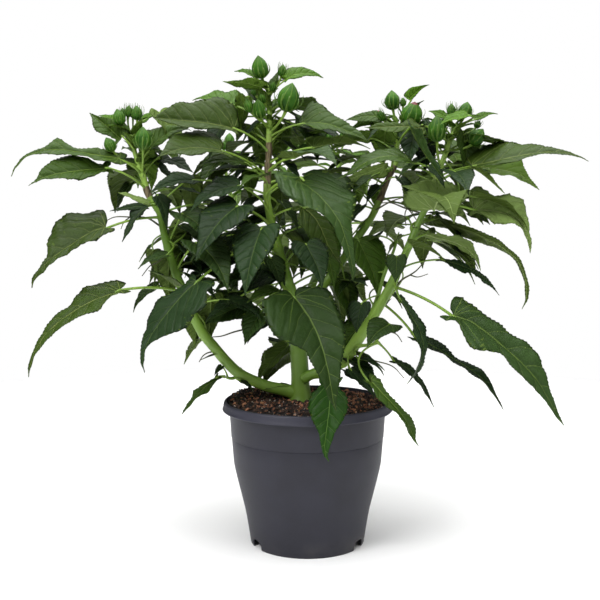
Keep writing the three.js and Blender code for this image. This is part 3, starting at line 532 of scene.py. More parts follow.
# foliage masses: a leafy stretch of stem, its measured leaves and buds, and the leaves grown by rule
# leaf: place on the stem, heading, rise, petiole, turn, pitch, droop, blade, width share, roll
# bud: place on the stem, heading, rise, pedicel, height, width
masses = {
    "crown-center-lower": {
        "stem": "center", "from": 2, "to": 5,
        "leaves": [
            [0.95, -100, 17, 114, 64, -44, 35, 135, 0.78, 36],
            [0.29, -112, -11, 82, 59, -47, 25, 143, 0.64, 30],
            [0.86, -40, 16, 50, 12, -38, 35, 86, 0.55, 10],
            [0.35, -119, -43, 63, -16, -46, 20, 48, 0.84, -10],
            [0.41, -62, -36, 46, -72, 1, 30, 56, 0.6, -10],
            [0.74, -126, -26, 131, -25, -47, 25, 120, 0.68, -42],
            [0.19, 168, -29, 63, 6, -4, 40, 59, 0.62, -20],
            [0.76, -119, 22, 73, -15, -26, 45, 92, 0.62, -20],
            [0.57, -100, 22, 71, -12, -42, 40, 89, 0.62, 0], [0.9, -112, 33, 61, -41, -8, 45, 72, 0.58, -25],
            [0.41, -64, 25, 70, -1, -34, 40, 67, 0.6, 10], [0.66, 14, 26, 38, 2, -9, 50, 61, 0.6, 30],
            [0.19, 97, 20, 72, -77, -26, 50, 65, 0.6, 20],
        ],
        "more": {"count": 6, "seed": 7, "low": 0.15, "high": 0.9, "aim": 112, "spread": 150, "petiole": 70,
                 "blade": 118},
    },
    "crown-center-upper": {
        "stem": "center", "from": 5, "to": 10,
        "leaves": [
            [0.55, -31, 19, 47, 19, 3, 45, 84, 0.55, 38], [0.42, -131, 30, 56, -37, 16, 24, 96, 0.66, -46],
            [0.33, -37, 15, 68, 10, 13, 40, 74, 0.55, -12], [0.22, -133, 23, 74, -17, 10, 40, 79, 0.64, -40],
            [0.93, -94, 20, 15, -64, 15, 25, 49, 0.46, -8], [0.88, -25, 46, 30, 32, 29, 60, 49, 0.5, 34],
            [0.97, 153, 39, 18, 11, 38, 45, 32, 0.5, -35], [0.63, 155, 33, 52, 2, 28, 45, 67, 0.6, -30],
            [0.7, -167, 16, 33, 31, 60, 10, 29, 0.5, -10], [0.45, 45, 43, 44, 21, 1, 60, 70, 0.6, 0],
            [0.46, 123, 40, 45, -7, 13, 60, 70, 0.6, 0], [0.26, -62, 12, 67, 6, 14, 55, 86, 0.6, 8],
            [0.15, -143, 44, 38, -23, 14, 45, 59, 0.55, -32], [0.11, -76, 27, 33, -47, -2, 40, 46, 0.6, 0],
            [0.07, -175, 10, 94, 30, -1, 35, 61, 0.55, -25],
        ],
        "buds": [
            [0.97, -119, 38, 16, 27, 19.5], [0.91, -4, 54, 27, 15, 10], [0.6, -42, 40, 36, 34, 26],
            [0.63, -109, 19, 30, 24, 15], [0.66, -136, 23, 33, 16, 12],
        ],
        "more": {"count": 5, "seed": 2, "low": 0.1, "high": 0.75, "aim": 90, "spread": 170, "petiole": 62,
                 "blade": 100},
    },
    "crown-right-lower": {
        "stem": "right", "from": 6, "to": 9,
        "leaves": [
            [0.81, 116, 19, 55, -122, -11, 82, 171, 0.42, -48],
            [0.63, 69, 52, 22, -77, -1, 75, 95, 0.42, -20], [0.72, 101, -1, 64, -84, -25, 42, 87, 0.46, 24],
            [0.36, -95, 48, 31, 68, -7, 40, 47, 0.6, -20], [0.19, 69, 14, 74, -87, -18, 32, 83, 0.3, 52],
            [0.03, -29, -24, 84, 15, -33, 26, 178, 0.44, 30],
            [0.13, -89, -50, 30, 34, -47, 84, 109, 0.34, -10], [0.1, -49, 57, 37, -60, -71, 12, 32, 0.8, 0],
            [0.89, 62, 20, 51, -15, 7, 50, 47, 0.55, 0], [0.73, 47, 10, 99, 96, -10, 35, 50, 0.5, -20],
        ],
        "more": {"count": 4, "seed": 1, "low": 0.1, "high": 0.9, "aim": 80, "spread": 160, "petiole": 66,
                 "blade": 112, "skip": [0, 1, 2]},
    },
    "crown-right-upper": {
        "stem": "right", "from": 9, "to": 13,
        "leaves": [
            [0.84, 137, 28, 38, 46, 21, 55, 75, 0.36, -22], [0.37, -6, 26, 50, -8, 16, 34, 134, 0.44, 40],
            [0.55, 28, 4, 42, -10, 9, 60, 106, 0.45, 22], [0.45, -12, 15, 46, -39, -12, 50, 62, 0.5, 5],
            [0.52, -30, -5, 29, -54, -10, 40, 65, 0.55, 0], [0.49, -137, 15, 49, -22, 5, 45, 96, 0.38, -20],
            [0.13, -77, -3, 34, -6, 36, 115, 100, 0.75, 0], [0.17, -32, -6, 57, 36, -7, 72, 92, 0.72, 38],
            [0.26, 55, 0, 66, -22, 23, 30, 46, 0.5, 30], [0.88, 58, 62, 20, 89, 44, 40, 31, 0.45, -30],
            [0.92, 17, 28, 34, -1, 30, 40, 31, 0.45, 30], [0.88, -142, 4, 16, 118, 50, 20, 27, 0.6, 10],
            [0.74, 109, -17, 36, 18, -6, 60, 42, 0.6, -10], [0.66, 63, 13, 54, -9, 20, 55, 75, 0.55, 10],
        ],
        "buds": [
            [0.55, -114, 63, 34, 31, 20], [0.74, 7, 11, 31, 24, 19], [0.96, 151, 72, 15, 15, 11],
            [0.96, -20, 49, 17, 18, 16],
        ],
        "more": {"count": 5, "seed": 4, "low": 0.1, "high": 0.75, "aim": 75, "spread": 170, "petiole": 60,
                 "blade": 100, "skip": [1]},
    },
    "crown-middle": {
        "stem": "middle", "from": 5, "to": 10,
        "leaves": [
            [0.78, -119, 54, 27, -80, 21, 52, 58, 0.5, -40],
            [0.45, -92, 31, 95, 25, -18, 52, 114, 0.42, -30], [0.57, 152, 45, 19, -41, 36, 50, 48, 0.6, 0],
            [0.49, -95, -9, 17, -91, -1, 35, 58, 0.42, -20], [0.49, 105, 4, 36, -75, 7, 35, 54, 0.5, 20],
            [0.09, 167, 42, 41, -19, 36, 50, 43, 0.55, -30], [0.21, 36, -20, 17, -6, -2, 50, 41, 0.25, 0],
            [0.95, -11, 64, 23, 1, 44, 10, 30, 0.5, 30],
        ],
        "buds": [
            [0.86, -152, 61, 25, 24, 18.5], [0.74, -69, 30, 37, 28, 26],
        ],
        "more": {"count": 5, "seed": 9, "low": 0.1, "high": 0.85, "aim": 105, "spread": 150, "petiole": 56,
                 "blade": 92},
    },
    "crown-left-lower": {
        "stem": "left", "from": 5, "to": 8,
        "leaves": [
            [0.38, -149, 3, 77, -16, -24, 46, 148, 0.36, -26],
            [0.91, -7, -29, 35, -149, -6, 45, 40, 0.52, -22], [0.38, -70, 21, 26, -67, 35, 20, 43, 0.8, -10],
            [0.46, 72, -4, 51, 134, -24, 50, 47, 0.46, -15], [0.58, -43, 43, 54, -4, -24, 45, 83, 0.62, 10],
            [0.83, 14, 63, 46, -61, -17, 45, 73, 0.6, 10], [0.21, 11, 12, 51, -48, -5, 45, 59, 0.55, 10],
            [0.21, -13, -50, 50, 142, -31, 20, 63, 0.42, -20],
        ],
        "more": {"count": 5, "seed": 6, "low": 0.1, "high": 0.9, "aim": 115, "spread": 130, "petiole": 60,
                 "blade": 106, "skip": [2]},
    },
    "crown-left-upper": {
        "stem": "left", "from": 8, "to": 13,
        "leaves": [
            [0.58, -131, 30, 34, -34, 10, 48, 128, 0.4, -36],
            [0.43, -130, 26, 56, -26, -2, 28, 94, 0.42, -34],
            [0.13, -151, -11, 68, -11, -20, 45, 112, 0.68, -40],
            [0.21, -121, 33, 32, 71, -52, 30, 50, 0.6, 0], [0.26, -46, 4, 37, -97, 20, 10, 41, 0.45, -60],
            [0.24, -114, 3, 17, -44, 0, 20, 43, 0.3, -50], [0.22, -51, 7, 28, -104, -39, 30, 55, 0.34, -20],
            [0.47, 57, 20, 43, 100, -25, 62, 64, 1, 0], [0.7, -86, 54, 38, -121, 39, 18, 58, 0.66, -20],
            [0.66, -25, 56, 27, 32, 35, 30, 53, 0.5, 20], [0.55, 70, 50, 33, -84, -9, 35, 49, 0.4, 15],
            [0.87, 117, 47, 43, 40, 24, 20, 30, 0.5, -30], [0.83, 117, 58, 41, -87, 48, 20, 23, 0.55, 30],
            [0.38, 73, 11, 52, 2, -13, 55, 59, 0.6, 0],
        ],
        "buds": [
            [0.67, -153, 27, 36, 18, 14], [0.94, -150, 48, 21, 19, 14.5], [0.98, 164, 79, 21, 14, 10],
            [0.94, -7, 73, 23, 17, 13], [0.58, -76, 61, 33, 27, 19.5],
        ],
        "more": {"count": 5, "seed": 16, "low": 0.1, "high": 0.75, "aim": 105, "spread": 170, "petiole": 58,
                 "blade": 96, "skip": [1]},
    },
    "crown-back-left": {
        "stem": "back-left", "from": 3, "to": 6,
        "leaves": [],
        "buds": [
            [0.98, -150, 56, 20, 22, 17], [0.98, 30, 66, 22, 18, 14],
        ],
        "more": {"count": 13, "seed": 8, "low": 0.08, "high": 0.96, "aim": 110, "spread": 340, "petiole": 68,
                 "blade": 112, "skip": [0]},
    },
    "crown-back-right": {
        "stem": "back-right", "from": 3, "to": 6,
        "leaves": [],
        "buds": [
            [0.97, -149, 58, 19, 22, 17], [0.97, 35, 57, 22, 19, 15],
        ],
        "more": {"count": 13, "seed": 15, "low": 0.08, "high": 0.96, "aim": 75, "spread": 340, "petiole": 68,
                 "blade": 112, "skip": [2, 3, 7]},
    },
    "low-right-spray": {
        "stem": "low-right", "from": 0, "to": 3,
        "leaves": [
            [0.94, 39, -48, 32, -44, -38, 26, 75, 0.34, 12],
            [0.97, -177, -32, 80, 152, -30, 46, 90, 0.44, 14],
            [0.33, -157, -40, 21, 129, -3, 60, 40, 0.36, 5],
            [0.31, -172, -40, 39, 124, -28, 15, 47, 0.34, 10],
            [0.81, 26, 35, 45, -149, -9, 30, 59, 0.6, -20],
        ],
    },
    "right-side-spray": {
        "stem": "right-side", "from": 0, "to": 5,
        "leaves": [
            [0.26, -11, -44, 67, -4, -23, 36, 136, 0.34, 14], [0.3, -109, -5, 53, -14, -65, 15, 36, 0.85, 0],
            [0.56, -212, -11, 44, 67, -32, 30, 30, 0.7, 0], [0.58, 119, -26, 23, 44, -14, 40, 31, 0.6, -20],
            [0.85, 99, 21, 34, 45, -31, 40, 53, 0.6, -20],
        ],
    },
    "low-front-spray": {
        "stem": "low-front", "from": 0, "to": 3,
        "leaves": [
            [0.93, -42, -12, 48, -54, -60, 14, 87, 0.56, 6],
        ],
    },
    "low-left-spray": {
        "stem": "low-left", "from": 0, "to": 3,
        "leaves": [
            [0.97, -147, 2, 10, -15, -33, 28, 63, 0.36, -40],
            [0.82, -113, 54, 20, -18, -30, 20, 17, 0.5, -20],
        ],
    },
    "low-back-spray": {
        "stem": "low-back", "from": 0, "to": 3,
        "leaves": [
            [0.84, 132, 8, 13, 13, -36, 35, 62, 0.85, 20],
        ],
        "more": {"count": 4, "seed": 8, "low": 0.3, "high": 1, "aim": 60, "spread": 168, "petiole": 58,
                 "blade": 118, "skip": [0]},
    },
}


def seeded(seed):
    state = [seed]

    def draw():
        state[0] = (state[0] * 1664525 + 1013904223) & 0xFFFFFFFF
        return state[0] / 4294967296
    return draw


# a stem's smooth path through its control points, as [place, radius] pairs
def stemPath(points):
    path = []
    last = len(points) - 1
    for i in range(last):
        b, c = points[i], points[i + 1]
        a = points[i - 1] if i > 0 else [2 * v - w for v, w in zip(b, c)]
        d = points[i + 2] if i + 2 <= last else [2 * v - w for v, w in zip(c, b)]
        for j in range(grow["splineSteps"]):
            t = j / grow["splineSteps"]
            spot = [
                0.5 * (2 * b[k] + (c[k] - a[k]) * t + (2 * a[k] - 5 * b[k] + 4 * c[k] - d[k]) * t * t
                       + (3 * b[k] - a[k] - 3 * c[k] + d[k]) * t ** 3)
                for k in range(3)
            ]
            path.append((Vector(spot), b[3] + (c[3] - b[3]) * t))
    path.append((Vector(points[last][:3]), points[last][3]))
    return path


def stretch(part):
    path = stemPath(stems[part["stem"]])
    return path[part["from"] * grow["splineSteps"]:part["to"] * grow["splineSteps"] + 1]


def pathLengths(path):
    lengths = [0.0]
    for before, after in zip(path, path[1:]):
        lengths.append(lengths[-1] + (after[0] - before[0]).length)
    return lengths


def pointAt(path, share):
    lengths = pathLengths(path)
    want = share * lengths[-1]
    i = 0
    while i < len(path) - 2 and lengths[i + 1] < want:
        i += 1
    k = (want - lengths[i]) / (lengths[i + 1] - lengths[i])
    return path[i][0].lerp(path[i + 1][0], k)


def direction(heading, angle):
    h, a = math.radians(heading), math.radians(angle)
    return Vector((math.cos(a) * math.cos(h), math.cos(a) * math.sin(h), math.sin(a)))


def curve(start, headingAt, angleAt, length):
    points = [start.copy()]
    for i in range(grow["steps"]):
        t = (i + 0.5) / grow["steps"]
        points.append(points[-1] + direction(headingAt(t), angleAt(t)) * (length / grow["steps"]))
    return points


def alongCurve(points, t):
    place = min(len(points) - 1 - 1e-9, max(0.0, t) * (len(points) - 1))
    i = int(place)
    return points[i].lerp(points[i + 1], place - i)


def turnTo(x, y, z):
    return Matrix((x, y, z)).transposed().to_euler()


def leafFrame(heading, angle, roll):
    along = direction(heading, angle)
    flat = Vector((-math.sin(math.radians(heading)), math.cos(math.radians(heading)), 0))
    up = along.cross(flat)
    c, s = math.cos(math.radians(roll)), math.sin(math.radians(roll))
    return along, flat * c + up * s, up * c - flat * s


# the leaves that a mass grows by rule beside its measured ones
def ruledLeaves(more):
    draw = seeded(more["seed"])
    rows = []
    for i in range(more["count"]):
        a, b, c, d, e, f, g, h, r = [draw() for _ in range(9)]
        at = more["low"] + (more["high"] - more["low"]) * (i + 0.5) / more["count"]
        rise = 2 + 40 * at + 16 * (b - 0.5)
        rows.append([
            at, more["aim"] + (i * 137.5) % more["spread"] - more["spread"] / 2 + 14 * (a - 0.5), rise,
            more["petiole"] * (1 - 0.5 * at) * (0.85 + 0.3 * c), 30 * (d - 0.5),
            rise * 0.35 - 6 + 14 * (e - 0.5), 38 + 32 * f,
            more["blade"] * (1 - 0.45 * at) * (0.85 + 0.3 * g), 0.5 + 0.12 * h, 34 * (r - 0.5),
        ])
    return [row for i, row in enumerate(rows) if i not in more.get("skip", ())]


def leavesOf(mass):
    return mass["leaves"] + (ruledLeaves(mass["more"]) if "more" in mass else [])


# a mesh in the making: its points in millimetres, faces, their finishes, and values at each point
def newBag(mapName=None):
    return {"points": [], "faces": [], "finish": [], "map": mapName, "uv": [], "shade": [], "bark": []}


def addPoint(bag, place, uv=(0, 0), shade=0.0, bark=0.0):
    bag["points"].append(tuple(place))
    bag["uv"].append(uv)
    bag["shade"].append(shade)
    bag["bark"].append(bark)
    return len(bag["points"]) - 1


def addFace(bag, corners, finish):
    bag["faces"].append(corners)
    bag["finish"].append(finish)


# a ring of points round the upright axis; z is its height, or a rule for it
def ringOf(bag, radius, z, count):
    turns = [2 * math.pi * j / count for j in range(count)]
    spots = [(radius * math.cos(a), radius * math.sin(a)) for a in turns]
    return [addPoint(bag, (x, y, z(x, y) if callable(z) else z)) for x, y in spots]


# faces between rings of points, closed at both ends
def skinRings(bag, rings, finish):
    count = len(rings[0])
    for a, b in zip(rings, rings[1:]):
        for j in range(count):
            n = (j + 1) % count
            addFace(bag, [a[j], a[n], b[n], b[j]], finish)
    addFace(bag, list(reversed(rings[0])), finish)
    addFace(bag, list(rings[-1]), finish)


def meshFrom(bag, name):
    mesh = bpy.data.meshes.new(name)
    mesh.from_pydata([tuple(c * mm for c in p) for p in bag["points"]], [], bag["faces"])
    names = sorted(set(bag["finish"]))
    for finish in names:
        mesh.materials.append(finishes[finish])
    mesh.polygons.foreach_set("material_index", [names.index(f) for f in bag["finish"]])
    mesh.polygons.foreach_set("use_smooth", [True] * len(mesh.polygons))
    if bag["map"]:
        layer = mesh.uv_layers.new(name=bag["map"])
        flat = []
        for loop in mesh.loops:
            flat.extend(bag["uv"][loop.vertex_index])
        layer.data.foreach_set("uv", flat)
    for label in ("shade", "bark"):
        values = mesh.attributes.new(label, "FLOAT", "POINT")
        values.data.foreach_set("value", bag[label])
    mesh.update()
    return addObject(name, mesh)


def finishPiece(piece, slot, *nodes):
    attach(piece, "root")
    if nodes:
        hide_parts(*nodes)
    print("piece", piece.name, "triangles", sum(len(p.vertices) - 2 for p in piece.data.polygons))


# geometry node trees: made once, run on a mesh, and turned into a plain mesh
def newShapeTree(name, inputs):
    tree = bpy.data.node_groups.new(name, "GeometryNodeTree")
    tree.interface.new_socket("Geometry", in_out="INPUT", socket_type="NodeSocketGeometry")
    for label, kind, value in inputs:
        socket = tree.interface.new_socket(label, in_out="INPUT", socket_type=kind)
        if value is not None:
            socket.default_value = value
    tree.interface.new_socket("Geometry", in_out="OUTPUT", socket_type="NodeSocketGeometry")
    return tree, addNode(tree, "NodeGroupInput"), addNode(tree, "NodeGroupOutput")


def namedValue(tree, name, kind="FLOAT"):
    node = addNode(tree, "GeometryNodeInputNamedAttribute", data_type=kind)
    node.inputs["Name"].default_value = name
    return node.outputs["Attribute"]


def runTree(tree, source, name, **values):
    modifier = source.modifiers.new("shape", "NODES")
    modifier.node_group = tree
    for item in tree.interface.items_tree:
        if item.item_type == "SOCKET" and item.in_out == "INPUT" and item.name in values:
            modifier[item.identifier] = values[item.name]
    bpy.context.view_layer.update()
    shaped = source.evaluated_get(bpy.context.evaluated_depsgraph_get())
    mesh = bpy.data.meshes.new_from_object(shaped)
    mesh.name = name
    piece = addObject(name, mesh)
    source.modifiers.remove(modifier)
    return piece


def endTree(tree, end, geometry, finish):
    solid = addNode(tree, "GeometryNodeRealizeInstances")
    wire(tree, geometry, solid.inputs[0])
    painted = addNode(tree, "GeometryNodeSetMaterial")
    wire(tree, solid.outputs[0], painted.inputs["Geometry"])
    put(tree, painted.inputs["Material"], finish)
    wire(tree, painted.outputs[0], end.inputs["Geometry"])


# leaf blades: a skin above and one below, with a toothed edge, fold, swelling and raised midrib
blade = {
    "toothPitch": 4.2, "toothHigh": 1.8, "mostTeeth": 40, "fewestTeeth": 7, "toothLean": 0.68,
    "toothStray": 0.16,
    "across": (-1, -0.84, -0.6, -0.34, -0.08, 0, 0.08, 0.34, 0.6, 0.84, 1),
    "acrossSmall": (-1, -0.7, -0.3, 0, 0.3, 0.7, 1), "smallBelow": 58,
    "thick": 0.4, "swell": 0.011, "blister": 0.009, "ripple": 0.022, "midrib": 0.008, "curl": 0.3,
    "veinSpacing": 0.158, "veinSlope": 0.62, "veinArch": 1.5,
    # outline: place on the midrib, share of the half width, reach back of the lobe in blade lengths
    "outline": ((0, 0.2, 0.045), (0.018, 0.46, 0.088), (0.045, 0.7, 0.108), (0.085, 0.88, 0.1),
                (0.14, 0.97, 0.072), (0.22, 1, 0.03), (0.32, 0.955, 0.008), (0.43, 0.83, 0), (0.54, 0.665, 0),
                (0.65, 0.48, 0), (0.76, 0.295, 0), (0.85, 0.16, 0), (0.93, 0.068, 0), (1, 0, 0)),
    "baseStations": (0, 0.009, 0.018, 0.031, 0.045, 0.065),
    # how far the other leaves twist in degrees, and bow and snake in blade lengths
    "wander": (14, 0.05, 0.02),
    # places on the midrib for which a leaf's own marks are told
    "marks": (0.03, 0.12, 0.24, 0.38, 0.52, 0.66, 0.8, 0.92),
}


def outlineAt(t):
    table = blade["outline"]
    i = 0
    while i < len(table) - 2 and table[i + 1][0] < t:
        i += 1
    (t0, w0, b0), (t1, w1, b1) = table[i], table[i + 1]
    before, after = table[max(0, i - 1)], table[min(len(table) - 1, i + 2)]
    k = (t - t0) / (t1 - t0)
    values = []
    for one, two, prior, later in ((w0, w1, before[1], after[1]), (b0, b1, before[2], after[2])):
        m0 = (two - prior) / (t1 - before[0]) * (t1 - t0) if i > 0 else two - one
        m1 = (later - one) / (after[0] - t0) * (t1 - t0) if i < len(table) - 2 else two - one
        values.append((2 * k ** 3 - 3 * k * k + 1) * one + (k ** 3 - 2 * k * k + k) * m0
                      + (3 * k * k - 2 * k ** 3) * two + (k ** 3 - k * k) * m1)
    return max(0.0, values[0]), max(0.0, values[1])


def leafRow(path, row):
    at, heading, rise, petiole, turn, pitch, droop, length = row[:8]
    stalk = curve(pointAt(path, at), lambda t: heading + turn * t,
                  lambda t: rise + grow["petioleArch"] * (0.5 - t), petiole)
    midrib = curve(stalk[-1], lambda t: heading + turn, lambda t: pitch - droop * t * (0.5 + 0.5 * t), length)
    return stalk, midrib


# a leaf's own value at a place on its midrib: one number, or one for each mark
def markedAt(values, t, ends=None):
    if not isinstance(values, tuple):
        return values
    first, last = (values[0], values[-1]) if ends is None else (ends, ends)
    spots = [(0, first)] + list(zip(blade["marks"], values)) + [(1, last)]
    for (t0, v0), (t1, v1) in zip(spots, spots[1:]):
        if t <= t1:
            k = (t - t0) / (t1 - t0)
            return v0 + (v1 - v0) * (0.5 * k + 0.5 * k * k * (3 - 2 * k))
    return spots[-1][1]


# stations along a blade, each with how far its tooth stands out
def bladeStations(length, draw):
    teeth = round(max(blade["fewestTeeth"], min(blade["mostTeeth"], length * 0.93 / blade["toothPitch"])))
    stations = [(t, 0.0) for t in blade["baseStations"]]
    first = blade["baseStations"][-1]
    for k in range(teeth):
        lean = blade["toothLean"] + blade["toothStray"] * (draw() - 0.5)
        high = blade["toothHigh"] * (0.35 + 1.1 * draw()) * min(1.0, length / 90)
        t = first + (1 - first) * (k + lean) / teeth
        stations.append((t, high * (1 - 0.75 * t)))
        stations.append((first + (1 - first) * (k + 1) / teeth, 0.0))
    return stations


def addBlade(bag, midrib, heading, row, tone, under, draw, trim):
    pitch, droop, length, width, roll = row[5:10]
    half = length * width / 2
    stations = bladeStations(length, draw)
    columns = blade["acrossSmall"] if length < blade["smallBelow"] else blade["across"]
    shade, phases, waves = draw(), (draw() * 6.28, draw() * 6.28), (1.7 + draw() * 1.3, 4.2 + draw() * 2.6)
    told = "marks" in trim
    sways, lifts, *sides = trim.get("marks", (0, 0, 100, 100))
    twist, bow, snake = [0.0 if told else reach * (draw() - 0.5) for reach in blade["wander"]]
    roll += trim.get("roll", 0)
    fold = math.tan(math.radians(trim.get("fold", grow["foldAngle"])))
    curl = blade["curl"] * (0.5 + draw())
    swell = blade["swell"] * trim.get("crease", 0.5 + 0.9 * draw()) * length
    ripple = blade["ripple"] * (0.45 + 0.9 * draw()) * length
    seedSpot = Vector((draw() * 90, draw() * 90, 0))
    upper, lower = [], []
    for i, (t, tooth) in enumerate(stations):
        along, across, up = leafFrame(heading, pitch - droop * t * (0.5 + 0.5 * t), roll + twist * t * t)
        bend = bow * math.sin(math.pi * t) + snake * math.sin(2 * math.pi * t)
        sway = length * (markedAt(sways, t, 0) / 1000 if told else bend)
        middle = alongCurve(midrib, t) + across * sway + up * (length * markedAt(lifts, t, 0) / 1000)
        if i == len(stations) - 1:
            tip = addPoint(bag, midrib[-1], (0.5, 1.0), shade)
            upper.append([tip] * len(columns))
            lower.append([tip] * len(columns))
            break
        share, back = outlineAt(t)
        topRow, lowRow = [], []
        for s in columns:
            a = abs(s)
            side = 1 if s > 0 else 0
            spread = half * share * markedAt(sides[side], t) / 100 + tooth * (a > 0.99)
            sweepBack = back * length
            x = s * spread
            y = t * length - sweepBack * a ** 1.3
            u, v = x / length, y / length
            rise = a * spread * fold * (1.2 - (0.2 + curl) * a)
            sweep = v - blade["veinSlope"] * abs(u) - blade["veinArch"] * u * u
            fraction = (sweep / blade["veinSpacing"] + 0.5 * side) % 1
            calm = min(1, spread / half * 1.6)
            rise += swell * math.sin(math.pi * fraction) ** 0.8 * min(1, a * 4) * (1 - 0.5 * a) * calm
            rise += blade["blister"] * length * calm * min(1, a * 4) * \
                noise.noise(seedSpot + Vector((u * 17, v * 17, side * 5)))
            rise += ripple * a ** 2.2 * min(1.0, spread / half * 1.3) * (
                math.sin(waves[0] * 6.28 * t + phases[side])
                + 0.35 * math.sin(waves[1] * 6.28 * t + phases[1 - side]))
            place = middle + across * x - along * (sweepBack * a ** 1.3) + up * rise
            uv = (0.5 + u, (v + 0.12) / 1.14)
            rib = blade["midrib"] * length * (1 - t) + 0.3 if s == 0 else 0.0
            top = addPoint(bag, place - up * (0.2 * rib), uv, shade)
            low = top if a == 1 or i == 0 else addPoint(bag, place - up * (blade["thick"] + rib), uv, shade)
            topRow.append(top)
            lowRow.append(low)
        upper.append(topRow)
        lower.append(lowRow)
    for i in range(len(stations) - 1):
        for j in range(len(columns) - 1):
            for grid, finish, flip in ((upper, tone, False), (lower, under, True)):
                corners = [grid[i][j], grid[i + 1][j], grid[i + 1][j + 1], grid[i][j + 1]]
                if flip:
                    corners.reverse()
                kept = [c for n, c in enumerate(corners) if c != corners[n - 1]]
                if len(set(kept)) >= 3:
                    addFace(bag, kept, finish)


# petioles, pedicels and bare twigs are gathered as lines and skinned together
def newLines():
    return {"points": [], "edges": [], "radius": []}


def addLine(lines, points, radii):
    first = len(lines["points"])
    lines["points"] += [tuple(p) for p in points]
    lines["radius"] += list(radii)
    lines["edges"] += [(first + i, first + i + 1) for i in range(len(points) - 1)]


stalkLines = newLines()
leafPieces = {
    "leavesLeft": ("crown-left-lower", "crown-left-upper", "low-left-spray"),
    "leavesCenter": ("crown-center-lower", "crown-center-upper", "low-front-spray"),
    "leavesRight": ("crown-right-lower", "crown-right-upper", "crown-middle", "low-right-spray",
                    "right-side-spray"),
    "leavesBack": ("crown-back-left", "crown-back-right", "low-back-spray"),
}
leafBags = {piece: newBag("leafMap") for piece in leafPieces}
leafHomes = {mass: piece for piece, held in leafPieces.items() for mass in held}
toneDraw = seeded(77)

